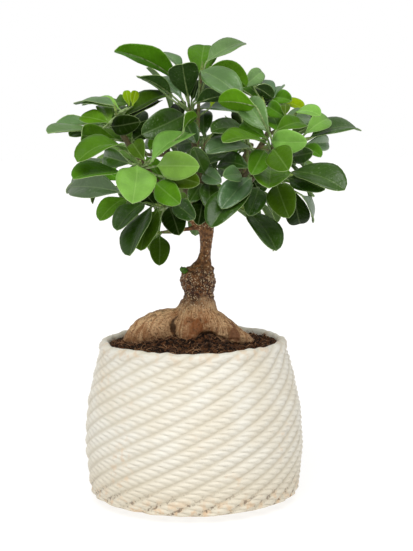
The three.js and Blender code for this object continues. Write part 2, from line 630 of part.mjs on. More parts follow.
// Leafy shoots. stem: points of the stem from inside its branch to its tip. leaves: base x, z,
// tip x, z, the width that shows (negative for the underside), then if they differ from the
// usual the arch, whether the tip goes away (1) or comes forward (-1), and the blade's length.
// spiral: how many leaves follow the golden angle.
const SHOOTS = {
  top: {
    stem: [[2.2, 2.4, 247], [0.5, 1, 259], [-1, 0, 271]],
    y: 0,
    leaves: [
      [-5, 282.5, -50.4, 306, -13.5, 5.5],
      [-5, 291, -21, 304.5, 4, 3, 1],
      [-0.8, 273, -5, 297.5, -20.5, 2],
      [-12, 276, -33.5, 289, -5.5, 1.5],
      [-16, 276.5, -35, 288.3, 2, 1],
      [-5, 273, -24, 287.5, 7, 2.5, 1],
      [2, 271, 16, 283, 10, 2, 1],
      [3, 270, 24, 275, -7, 2],
      [14, 268, 17.4, 279, 7, 0.5, 1, 15],
      [1, 272, 5, 286, 7, 1, 1],
    ],
  },
  top_right: {
    stem: [[4.2, 3, 237], [5, 0, 252], [6, -5, 272], [8, -10, 290]],
    y: -12,
    leaves: [
      [7, 287, 10, 309.4, 21, 1, 1],
      [11, 297.5, 36.5, 311, 8.5, 2],
      [13, 294, 38.5, 281.5, -12, 6, 1],
      [7, 292, 34, 274.5, 13, 4],
    ],
  },
  right_back_top: {
    stem: [[53.6, 6, 250], [53, 14, 262], [51, 24, 271]],
    y: 26,
    leaves: [
      [35, 280, 48.5, 291, 10, 2],
      [49, 273, 37, 284, 12, 2],
      [43, 281, 56, 273, -8, 2],
      [56, 273, 47.5, 286, 5.5, 2],
      [57, 273, 68.5, 271.5, 5, 2.5],
      [60, 273, 45, 269.5, -6, 1],
      [59, 270, 76.5, 265.4, 5, 2],
      [57, 271, 62, 281, 5, 2, 1],
    ],
  },
  right_front: {
    stem: [[47.5, -41, 231], [51, -50, 237], [53.5, -60, 243]],
    y: -62,
    leaves: [
      [45, 267.5, 19.5, 271.5, -10, 1.5, 1],
      [54, 249, 38, 272, 13.5, 4],
      [55, 244.5, 79, 243.5, 14, 4, -1],
      [57, 250.5, 77.5, 256, 7, 3],
      [52, 246, 36, 257.5, 13, 3],
      [52, 243, 22, 244.5, 4.5, 3, -1],
      [50, 238, 41, 222, 14, 3],
      [56, 239, 66.5, 224.5, 18, 2],
    ],
  },
  right_mid: {
    stem: [[52, 6, 248], [60, -8, 253], [67, -20, 259]],
    y: -20,
    leaves: [
      [71, 263.2, 88, 261.2, 5, 2.4],
      [66, 259, 52, 268, 8, 3],
      [60, 254, 83, 259, 9, 3],
      [64, 261, 64.5, 269, 4, 1, 1, 14],
      [61, 249, 56, 261, 8, 2, 1],
    ],
  },
  right_outer: {
    stem: [[47, 6, 240], [62, -1, 241.5], [75, -8, 245]],
    y: -10,
    leaves: [
      [77, 248.5, 93.5, 259, 8.5, 3],
      [80, 245.5, 114, 252, 9, 4.5],
      [77, 242, 93.5, 243, 9, 3],
      [73, 238.5, 88.5, 233.5, 5, 3],
      [69, 233.5, 83, 236.5, 7, 2.5, -1],
    ],
  },
  right_low: {
    stem: [[40.6, -26.6, 221], [52, -30, 219.5], [64, -32, 222]],
    y: -32,
    leaves: [
      [67, 223, 104.5, 211, 12.5, 4],
      [66, 219, 90.8, 211.3, 11, 3],
      [58, 216, 66.5, 192.5, 19, 3],
      [69, 213, 74, 187.5, 13, 3, 1],
      [75, 208, 82.2, 190, 3, 2, 1],
      [54, 226, 53, 212.5, 25, 2, -1],
    ],
  },
  centre_right_low: {
    stem: [[30, -13, 208.5], [33, -25, 211], [37, -35, 216]],
    y: -36,
    leaves: [
      [41, 220, 20.5, 199, 12, 3],
      [42, 215, 13, 187, 14, 4],
      [46, 213, 39, 194, 15, 3],
      [41, 226, 18, 229.5, 9, 3],
      [34, 222, 22, 221, 5, 2, -1],
    ],
  },
  low_right: {
    stem: [[21, -6.4, 198.5], [27, -8, 199], [33, -12, 199.5]],
    y: -13,
    leaves: [
      [36.5, 197.5, 57.8, 170, 12.5, 3],
    ],
  },
  centre: {
    stem: [[35, 2, 220.5], [38, 0, 232], [39, -2, 245]],
    y: -2,
    leaves: [
      [44, 237, 10.5, 236.5, 7, 5, -1],
      [30, 235, 9, 230.5, 8, 3],
      [39, 251, 14, 251.5, 7, 3, -1],
      [34, 263, 1.4, 264, 6.5, 4.5, 1],
      [38, 249, 31.5, 265, 8, 2, 1],
      [33, 228, 18, 222, 6, 2, 1],
    ],
  },
  centre_low: {
    stem: [[7.5, 2, 210], [10, -4, 215], [11, -9, 222]],
    y: -10,
    leaves: [
      [12, 219, 12, 199.5, 13, 2],
      [9, 224, 20.5, 217, 7, 3],
      [8, 208, 4.5, 188, 11, 3],
      [9, 223, 2, 241, 9, 2, -1],
      [7, 216, -1, 204, 8, 2],
    ],
  },
  centre_left: {
    stem: [[2.4, 2.6, 246], [-3, -5, 251], [-8, -11, 256]],
    y: -12,
    leaves: [
      [-4, 263, -33, 250, 16, 5],
      [-15, 252, -38.5, 246, 8, 4],
      [-8, 250, -28, 240, -9, 3],
      [-4, 259, 4, 244, 8, 2, -1],
      [-5, 261, -9, 270.5, 7, 1, 1],
    ],
  },
  left_front: {
    stem: [[-30.4, -34, 225], [-31, -47, 227], [-31, -60, 231]],
    y: -61,
    leaves: [
      [-41, 237, -77.3, 232.3, 7, 8],
      [-40, 230, -59, 235.5, 12, 3],
      [-36.5, 229, -40, 203.5, 25, 2],
      [-27, 231, 1, 249.7, 9, 4],
      [-5, 251, 4.5, 262, -3, 2, 1, 26],
      [-23, 228.5, 6, 228, 13, 3, -1],
      [-24, 217, -8, 203, 16, 2],
      [-18, 221, 5.5, 216.5, 10, 3],
      [-45, 223.5, -80, 220.5, 7, 3],
      [-31, 232, -39, 244, 14, 2],
    ],
  },
  left_upper: {
    stem: [[-45, -9.4, 249], [-48, -13, 256], [-49, -16, 264]],
    y: -16,
    leaves: [
      [-41, 269, -43, 279.3, 5, 1, 1, 13],
      [-39, 269, -36.5, 279.3, 5, 1, 1, 13],
      [-62, 252.5, -96.5, 251.3, 4, 1],
      [-66, 250.5, -82, 249.5, 4.5, 1],
      [-55, 255.5, -90, 254, -4.5, 2.8],
      [-55, 258, -74, 262, 8, 1],
      [-54, 257, -60, 270, 6, 2],
      [-47, 266.5, -71.3, 270, 5, 3],
      [-50, 269, -77.3, 271.2, 3, 1.5, 1],
      [-41, 270, -52, 270.5, 4, 1.5, 1],
      [-46, 261, -13.5, 277.8, 8.5, 2],
      [-54, 255.5, -34, 258.5, 10, 3, -1],
      [-50, 257, -48, 268.5, 5, 1.5, 1],
      [-46, 257, -20, 273, 7, 1.5, 1],
    ],
  },
  left_mid: {
    stem: [[-36, -8, 233], [-41, -4, 240], [-43, 0, 246]],
    y: 0,
    leaves: [
      [-48, 246, -74, 249.8, -9, 3],
      [-58, 234, -84, 212, 5, 3, 1],
      [-30, 235, -20, 219, 12, 2],
      [-39, 250, -32, 266, 10, 2, 1],
    ],
  },
  left_outer: {
    stem: [[-23.6, -23.4, 213.6], [-34, -20, 213], [-44, -16, 214.5]],
    y: -15,
    leaves: [
      [-46, 210.5, -82, 214.8, 14, 4],
      [-43, 207, -62.5, 191.8, 9, 3],
      [-46, 218, -66, 226, 9, 3],
    ],
  },
  left_low: {
    stem: [[-11, -13, 201], [-16, -24, 201], [-20, -33, 203]],
    y: -36,
    leaves: [
      [-31, 204, -51, 185, 9, 3],
      [-26.5, 202, -43, 168, 10, 1.5],
      [-22, 199, -35, 171, 14, 3],
      [-15, 201, -8.5, 181.5, 16, 2],
      [-12, 205, 2, 192.5, 12, 2],
      [-22, 199, -32, 211, 10, 2, 1],
    ],
  },
  twig_end: {
    stem: [[-13, -7.4, 184.4], [-17, -9, 184.2], [-20.5, -10.5, 184]],
    y: -12,
    leaves: [
      [-22, 181.5, -22.5, 160.8, 10, 2],
    ],
  },
  inner_centre: {
    stem: [[4.6, 3, 232], [8, 9, 240], [12, 14, 246]],
    y: 15,
    leaves: [
      [13, 247, 28, 252.5, 11, 2, 1],
      [16, 246, 36, 247, 12, 3, 1],
      [10, 250, 1, 259, 12, 2, 1],
      [14, 243, 32, 238, 12, 3, -1],
      [8, 246, -9, 243, 13, 3, 1],
      [11, 241, 15, 226, 13, 2, -1],
      [9, 247, 9, 266, 9, 2, 1],
    ],
  },
  inner_right: {
    stem: [[21, -6, 199], [27, 3, 209], [31, 9, 218]],
    y: 10,
    leaves: [
      [34, 221, 49, 228, 13, 3],
      [33, 217, 45, 205, 14, 3],
      [28, 212, 28, 197, 13, 3],
      [35, 214, 52, 213, 12, 3],
    ],
  },
  back_low_left: { stem: [[-3, 22.5, 211], [-16, 30, 212], [-27, 34, 216]], spiral: 5, seed: 3 },
  back_left: { stem: [[-16.6, 40, 236], [-30, 44, 236], [-42, 47, 240]], spiral: 6, seed: 11 },
  back_top_left: { stem: [[-17.6, 41, 237], [-15, 43, 243], [-10, 45, 250]], spiral: 6, seed: 23 },
  back_middle: { stem: [[-9.5, 31.4, 221], [-4, 45, 226], [2, 58, 234]], spiral: 6, seed: 31 },
  back_low: { stem: [[21, 19, 206], [17, 35, 209], [13, 48, 216]], spiral: 6, seed: 43 },
  back_low_right: { stem: [[27, 26.6, 214.6], [40, 31, 215], [50, 35, 219]], spiral: 5, seed: 62 },
  back_right: { stem: [[42, 42, 239], [55, 44, 238], [66, 45, 240]], spiral: 6, seed: 67 },
  back_top_right: { stem: [[42.6, 42.6, 240], [36, 45, 248], [29, 45, 257]], spiral: 6, seed: 73 },
};

function stemCurve(shoot) {
  return new THREE.CatmullRomCurve3(shoot.stem.map((p) => new THREE.Vector3(...p)));
}

function leafSolid(pose, grow, withStalk) {
  return solidFromGeometry(leafGeometry(pose, grow, withStalk));
}

function boxesMeet(a, b) {
  for (let i = 0; i < 3; i += 1) {
    if (a.min[i] > b.max[i] || b.min[i] > a.max[i]) {
      return false;
    }
  }
  return true;
}

function touches(solid, others) {
  const box = solid.boundingBox();
  return others.some((other) => boxesMeet(box, other.boundingBox()) && !solid.intersect(other).isEmpty());
}

// Grows every shoot in turn. A leaf takes its first pose that is clear of the plant body, the
// pot, the soil, the other shoots and the blades of its own shoot; one with none is left out.
function growShoots(plant, grownPlant, pot, soil) {
  const stems = {};
  for (const [name, shoot] of Object.entries(SHOOTS)) {
    stems[name] = mainBody(limb(shoot.stem, STEM_RADII, STEM_SIDES, STEM_STEPS).subtract(grownPlant));
  }
  const grown = {};
  const settled = [plant, pot, soil];
  for (const [name, shoot] of Object.entries(SHOOTS)) {
    const curve = stemCurve(shoot);
    const otherStems = Object.keys(stems).filter((other) => other !== name).map((other) => stems[other]);
    const obstacles = [...settled, ...otherStems];
    const leaves = [];
    const blades = [];
    const count = shoot.spiral ?? shoot.leaves.length;
    for (let i = 0; i < count; i += 1) {
      const poses = shoot.spiral
        ? spiralLeafPoses(curve, shoot.seed, i, count)
        : seenLeafPoses(shoot, curve, i);
      const pose = poses.find((candidate) => {
        const thick = leafSolid(candidate, GAP, true);
        const blade = leafSolid(candidate, GAP / 3, false);
        return !touches(thick, obstacles) && !touches(blade, blades);
      });
      if (pose) {
        leaves.push(leafSolid(pose, 0, true));
        blades.push(leafSolid(pose, 0, false));
      }
    }
    grown[name] = mainBody(unionOf([stems[name], ...leaves]));
    settled.push(grown[name]);
  }
  return grown;
}

// Materials

const FINISHES = {
  glaze: { color: 0xece4d0, roughness: 0.62 },
  peat: { color: 0x33241a, roughness: 0.97 },
  bark: { color: 0x8f6b46, roughness: 0.85 },
  leaf: { color: 0x4c7a2a, roughness: 0.4 },
};

function material(name) {
  const { color, roughness } = FINISHES[name];
  return new THREE.MeshStandardMaterial({ color, roughness, metalness: 0 });
}

function addPiece(parent, name, solid, finish) {
  const mesh = new THREE.Mesh(geometryFromSolid(solid), material(finish));
  mesh.name = name;
  parent.add(mesh);
}

// Assembly

const pot = ropePot();
const plant = plantBody();
const grownPlant = plantBody(GAP);
const soil = soilBody(grownPlant);

const bonsai = new THREE.Group();
addPiece(bonsai, 'pot', pot, 'glaze');
addPiece(bonsai, 'soil', soil, 'peat');
addPiece(bonsai, 'trunk', plant, 'bark');

const crown = new THREE.Group();
for (const [name, solid] of Object.entries(growShoots(plant, grownPlant, pot, soil))) {
  addPiece(crown, `shoot_${name}`, solid, 'leaf');
}
bonsai.add(crown);

export default bonsai;
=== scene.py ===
"""A ficus ginseng bonsai in a round pot with a relief of twisted ropes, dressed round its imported
solids."""

import math

import bmesh
import bpy
from mathutils import Matrix, Quaternion, Vector, kdtree, noise


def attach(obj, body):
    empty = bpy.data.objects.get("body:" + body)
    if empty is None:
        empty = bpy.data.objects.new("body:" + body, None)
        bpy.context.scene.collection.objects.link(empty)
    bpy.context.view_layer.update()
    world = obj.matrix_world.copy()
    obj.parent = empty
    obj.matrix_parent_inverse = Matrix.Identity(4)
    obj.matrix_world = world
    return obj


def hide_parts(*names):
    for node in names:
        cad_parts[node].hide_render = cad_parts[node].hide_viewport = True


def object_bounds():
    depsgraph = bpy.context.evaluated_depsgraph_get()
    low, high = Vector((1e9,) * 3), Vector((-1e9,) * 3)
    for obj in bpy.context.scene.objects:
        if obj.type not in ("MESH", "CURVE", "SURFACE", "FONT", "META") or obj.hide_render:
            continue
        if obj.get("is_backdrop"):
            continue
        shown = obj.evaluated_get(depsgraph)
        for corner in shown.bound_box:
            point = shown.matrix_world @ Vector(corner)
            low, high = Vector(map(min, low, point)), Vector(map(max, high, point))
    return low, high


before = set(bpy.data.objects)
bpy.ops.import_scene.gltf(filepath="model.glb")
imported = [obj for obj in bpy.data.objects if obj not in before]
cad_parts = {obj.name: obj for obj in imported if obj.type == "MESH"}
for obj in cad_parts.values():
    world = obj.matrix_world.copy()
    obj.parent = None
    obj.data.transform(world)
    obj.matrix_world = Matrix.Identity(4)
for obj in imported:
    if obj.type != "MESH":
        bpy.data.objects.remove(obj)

CAD_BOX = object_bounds()

bl_info = {
    "name": "Ginseng ficus in a rope-relief pot",
    "version": (1, 0, 0),
    "blender": (4, 5, 0),
    "location": "3D View > Sidebar > Bonsai",
    "description": "Pot, soil, trunk and leafy shoots of a small ginseng ficus, and its stage",
    "category": "Object",
}

# Lengths below are in millimetres, +Z up, with the front towards -Y. The origin is the middle
# of the pot's base.
MM = 0.001
UP = Vector((0, 0, 1))
TINY = 1e-3

# The pot's form, as its solid has it
POT_HEIGHT = 110
BELLY_RADIUS = 75.2
BELLY_Z = 43
SHOULDER_Z = 101
SHOULDER_RADIUS = 65
SHOULDER_CURVE = 1.87
DROP_CURVE = 1.8
FOOT_CURVE = 1.45
FOOT_DROP = 4.3
FOOT_ROUND = 6.5
FOOT_INSET = 19
RIM_ROUND = 5
RIM_INSET = 4.4
RIM_START = POT_HEIGHT - RIM_ROUND
MOUTH_RADIUS = 58
MOUTH_ROUND = 2.8
WALL = 8
FLOOR = 9
ROPES = 24
ROPE_LEAN = 0.0273
ROPE_TURN = 0.14
ROPE_ROUNDNESS = 1.15
# Heights of its profile's rows at the foot and inside, and quarter turns over the rim and the
# mouth, with the share of the relief at each of the mouth's
FOOT_ROWS = (0.4, 0.9, 1.5, 2.2, 3, 3.7)
FOOT_TOP = 4.2
INSIDE_ROWS = (104, 98, 84, 65, 45, 30, 18, 11)
RIM_TURNS = (0.15, 0.3, 0.45, 0.6, 0.74, 0.86, 0.95)
MOUTH_TURNS = ((0, 0.6), (0.25, 0.4), (0.5, 0.25), (0.75, 0.1), (1, 0))

# The fine strands that each rope is laid from: how many cross the front at one height, and how
# far their lines turn for each millimetre up.
STRAND_COUNT = 23
STRAND_PITCH = 3.49
STRAND_START = 0.12
STRAND_ROUNDNESS = 0.85
# Where across a rope its strands curl, come out of the groove and end
STRAND_CURLS = (0.46, 0.94)
STRAND_RISES = (0.02, 0.34)
STRAND_ENDS = (0.88, 1)
COLUMNS_PER_ROPE = 12
COLUMN_CROWDING = 0.09
ROW_HEIGHT = 0.42

# Unevenness. Each row has its height, its waves for each millimetre sideways and upright, and a
# shift that sets it apart from the others.
PRESSED = [(0.7, 0.07, 0.07, 0), (0.2, 0.8, 1.1, 0)]
SLIPPED = [(0.4, 0.12, 0.12, 9)]
RIM_TILT = 0.014
RIM_SWAY = (80, 108)
RIM_WAVES = [(1.3, 0.05, 0, 3), (0.9, 0.16, 0, 6)]
RAGGED_CREASE = [(1, 0.35, 0.35, 0), (0.6, 0.9, 0.9, 0)]
RAGGED_SPOT = [(0.8, 0.3, 0.3, 0), (0.5, 0.8, 0.8, 0)]
CRUST = [(0.35, 0.8, 0.8, 0), (0.2, 1.6, 1.6, 0)]
GIRDLES = [(0.5, 0.05, 0.55, 0)]
DENTS = [(0.9, 0.1, 0.1, 0), (0.5, 0.32, 0.28, 0)]
SKIN_CRACKS = [(6, 0.15, 0.4, 7)]
BUD_LUMPS = [(0.4, 0.9, 0.9, 0)]
SOIL_LUMPS = [(1.5, 0.15, 0, 4.2), (1.5, 0.75, 0, 8.8), (0.7, 1.5, 0, 2.4)]
CLOD_HEIGHT = 2.6
CLOD_WAVES = 0.3
KNOB_WAVES = 0.24
KNOB_WAVES_UP = 0.28

# The soil and its heaps and dips: middle, radius and height of each
SOIL_WALL_Z = 107.6
SOIL_MOUND = 5.6
MOUND_INNER = 16
MOUND_OUTER = 54
HEAPS = [
    (10, -22, 4.5, 3.4), (-15, -24, 7, 2.2), (-44, -12, 6, 1.8), (-24, -34, 8, 1.2),
    (31, -18, 9, -3.2), (33, -32, 9, -2.8),
]
SOIL_TILT = 0.022
SOIL_CLEAR = 0.3
SOIL_ROWS = (25, 45, 65, 84, 98, 104)
SOIL_RINGS = 80
SOIL_COLUMNS = 320
# Where it gets calmer towards the wall, and how much of its lumps stays there
SOIL_EDGE = (51, 57.5)
EDGE_LUMPS = 0.4
# Loose crumbs and rootlets: how far out they lie, and the smallest and largest of each size
CRUMB_REACH = 55
CRUMB_RADIUS = (0.5, 1.8)
CRUMB_FLATNESS = 0.6
ROOTLET_REACH = 56
ROOTLET_LENGTH = (4, 18)
ROOTLET_ARCH = (0.2, 2.4)
ROOTLET_RADIUS = (0.09, 0.29)
ROOTLET_BEND = 1.3

# The leaves' form, as their solids have it
BLADE_THICKNESS = 0.8
BLADE_RATIO = 0.47
BLADE_FOLD = 0.2
STEM_TOP = 0.97
STEM_LOW = 0.35
LONGEST_BLADE = 53
SHORTEST_BLADE = 25
TURNED_AWAY = 1.15
TURNED_EXTRA = 6
BASE_LAG = 0.15
BARELY_MORE = 1.01
OUTLINE_SHIFT = 1.3
OUTLINE_FULLNESS = 0.66
STATIONS = (0.25, 0.58, 0.87)
FEWER_STATIONS = (0.32, 0.76)
NARROW_VIEW = 6.5
USUAL_REST = (3, 0, 0)
GOLDEN_ANGLE = 2.39996
SPIRAL_ASKEW = Vector((0.3, 1, 0.2))
SPIRAL_OPEN = (0.75, 1.3)
SPIRAL_LENGTH = (34, 46)
SPIRAL_STALK = 8
SPIRAL_DROOP = 0.3
SPIRAL_ARCH = 0.1
BLADE_DROOP = 0.35
# How far a leaf may have been moved to clear others, and the misfit at which a place is its own
SWINGS = (0, 0.3, -0.3, 0.6, -0.6, 0.95, -0.95, 1.3, -1.3)
LIFTS = (0, 0.25, -0.25, 0.5)
BASE_MOVES = (0, -5, 5, -10, 10, -16, 16)
TIP_MOVES = (0, -8, 8, -16, 16, -24, 24)
MATCH_WITHIN = 0.5

# The leaves' finer form: a blade half as thick, a wedge-shaped base, a sharper fold with a
# rounded bottom, and side veins. Each mood has its limits and the shift of its draw.
LEAF_HALF = 0.25
BASE_WEDGE = 0.38
WEDGE_END = 0.35
TIP_BLUNTNESS = 0.16
TIP_START = (0.6, 0.95)
FOLD_MORE = 1.7
FOLD_ROUNDING = 0.02
CAMBER = 0.08
MARGIN_WAVE = 0.06
BLADE_COLUMNS = 8
BLADE_ROWS = 14
VEIN_STEP = 4.5
LEAF_IOR = 1.45
MOODS = {
    "waves": (7, 12, 0.3), "start": (0, 6, 0.7), "curl": (-0.01, 0.04, 1.1),
    "sway": (-0.015, 0.015, 1.9),
}
BRIGHTNESS = (0.8, 1.2)
WARMTH = (0.92, 1.08)
RIB_SHARES = (0.12, 0.3, 0.5, 0.7, 0.86)
STALK_RADII = [0.85, 0.75, 0.7, 0.55, 0.4, 0.25, 0.12]
STEM_RADII = [1.55, 1.25, 0.9]
BUD_RADII = [0.85, 1.05, 0.75, 0.1]
# Places of a shoot's materials in its list
UPPER, UNDER, CUT_EDGE, STALK, BARK, SCALE = range(6)

# The stage, and the camera and light that match the photograph's
EYE = Vector((9.8, -850, 239))
CAMERA_DOWN = 5.75
CAMERA_ROLL = -0.65
SENSOR = 36
FOCAL_LENGTH = 81.5
FLOOR_REACH = 30
KEY_FROM = (-0.06, -0.7, 1.0)
WHITE = (1, 1, 1, 1)

# Sections of the stock: height, middle x, half width along x, half depth along y
STOCK = [
    (99, 0, 15, 13), (112, 0, 19, 15.5), (123, 0.5, 18, 14.5), (129.5, 1.8, 15.4, 13.2),
    (134.5, 3.4, 12.8, 11.6), (139, 4, 10.4, 10), (143, 4.4, 10, 9.6), (149.5, 4, 11.7, 10.8),
    (155, 3.9, 11.4, 10.6), (158.5, 4.9, 9.4, 9), (161.5, 6.8, 6.6, 6.8), (165, 8.1, 4.8, 5),
    (170, 9.2, 3.9, 4.2), (177, 9.9, 4.2, 4.3), (184, 10, 5.1, 4.9), (190, 9.6, 5.2, 5),
]
STOCK_DEPTH = -2
STOCK_SIDES = 48
ROWS_PER_SECTION = 6
KNOB_LOW = 141
KNOB_HIGH = 160
KNOB = 1.3
SMOOTHER = 0.35
LUMPS_ROUND = 12
# Heights over which the roots' skin, the collar's crust and the neck's bark start and end
ROOTS_END = (130, 138)
CRUST_START = (130, 140)
COLLAR_START = (133, 140)
COLLAR_END = (159, 166)
NECK_START = (161, 169)
# How strongly the skin's depth turns into hollowness, which the bark's material paints as shade.
HOLLOW_CONTRAST = (0.28, 0.4)

# Swollen roots and branches: points of each middle line with the radius there
ROOTS = [
    [(-3, -2, 123, 9), (-13, -4, 119.8, 12.4), (-24, -5, 117.6, 12.9), (-33, -5, 113.4, 12),
     (-40, -4.5, 107, 9.4), (-45, -4, 99, 6.4)],
    [(-1, -5, 130, 8.5), (-2, -9, 124, 10.4), (-2.5, -12.5, 117, 10.6), (-2, -15.5, 108, 9),
     (-1, -17, 99, 6)],
    [(5, -3, 127, 9), (14, -7, 120, 10.2), (22.5, -9, 115.4, 9), (31, -8.5, 111.2, 7),
     (37.5, -7, 107.4, 5.5), (42, -5, 100, 4)],
    [(1, 4, 125, 9), (-7, 14, 119, 9.4), (-15, 24, 111, 7.6), (-21, 31, 101, 4.6)],
    [(7, 4, 125, 8.6), (17, 13, 118, 8.6), (27, 21, 110, 7), (34, 27, 101, 4.4)],
    [(-8, 4, 121, 9), (-20, 10, 115, 8), (-30, 16, 107.6, 6.2), (-36, 20, 100, 4.2)],
]
BRANCHES = [
    [(9.6, -2, 184, 4.6), (8.6, 1, 200, 4), (6.5, 3, 220, 3.4), (3.5, 3, 240, 2.8),
     (1.5, 2, 252, 2.3)],
    [(8, -3, 186, 3.6), (-1, -7, 195, 3.5), (-13, -14, 204, 3.2), (-25, -25, 216, 2.8),
     (-32, -36, 227, 2.3)],
    [(-11, -13, 202, 2.6), (-25, -11, 220, 2.5), (-38, -7, 238, 2.2), (-46, -10, 251, 1.9)],
    [(11, -3, 187, 3.6), (20, -6, 198, 3.5), (31, -14, 210, 3.2), (42, -29, 223, 2.7),
     (49, -43, 233, 2.2)],
    [(18, -5, 196, 2.8), (33, 1, 217, 2.6), (46, 6, 238, 2.3), (54, 6, 252, 1.9)],
    [(8, 0, 188, 3.4), (3, 15, 203, 3.2), (-9, 31, 221, 2.8), (-18, 42, 240, 2.2)],
    [(10, 0, 190, 3.2), (20, 18, 206, 3), (34, 34, 226, 2.6), (43, 43, 243, 2.1)],
    [(7, -3, 187, 1.7), (-5, -6, 185.6, 1.3), (-16, -8, 184, 1.1)],
]
# Sides of each limb, and what is added to its radius
LIMBS = ((ROOTS, 28, 0), (BRANCHES, 16, 0.15))
LIMB_STEPS = 20
SOFTENINGS = 7
# Creases between the roots and the hollow under them: height, direction from ROOT_MIDDLE in
# degrees to the right of the front, width and depth at points down each
ROOT_MIDDLE = (3, -2)
FIBRE_ROUND = 22
ALONG_FIBRES = 0.12
CREASES = [
    [(131, -52, 0.8, 0.5), (125, -50, 0.8, 1.3), (120, -48, 1, 3), (115, -46, 1.4, 4.4),
     (106, -43, 2.2, 5.4)],
    [(118, 20, 3, 0), (116, 21, 5, 2), (112.5, 22, 7, 5), (106, 22, 8, 6)],
    [(126, -108, 2, 0), (118, -106, 2.8, 2.6), (106, -104, 3, 3)],
    [(130, -139, 2, 0.4), (119, -137, 3, 3), (106, -136, 3, 3.5)],
    [(130, 173, 2, 0.4), (119, 173, 3, 3), (106, 173, 3.2, 3.5)],
    [(128, 126, 2, 0.4), (118, 116, 3, 2.6), (106, 110, 3, 3)],
]
# Places on the roots, each with its size: dark breaks in the skin, and fresh orange skin
SCARS_BELOW = 135
SCARS = [(28.5, -15, 114.5, 3.8), (26, -11, 120, 2.6), (-30, -12, 106, 3), (20, -19, 108, 3.5)]
FRESH = [(3, -21, 121, 7.5), (0, -23, 113, 6), (8, -18, 126, 4)]

COLLAR_BUD = [(-3, -6, 156.2), (-4.8, -6.8, 157.4), (-6.4, -7.3, 158.6), (-7.6, -7.6, 159.8)]
COLLAR_BUD_RADII = [1.2, 2.1, 2.3, 2, 1]
COLLAR_BUD_MIDDLE = Vector((-5.5, -7, 158))

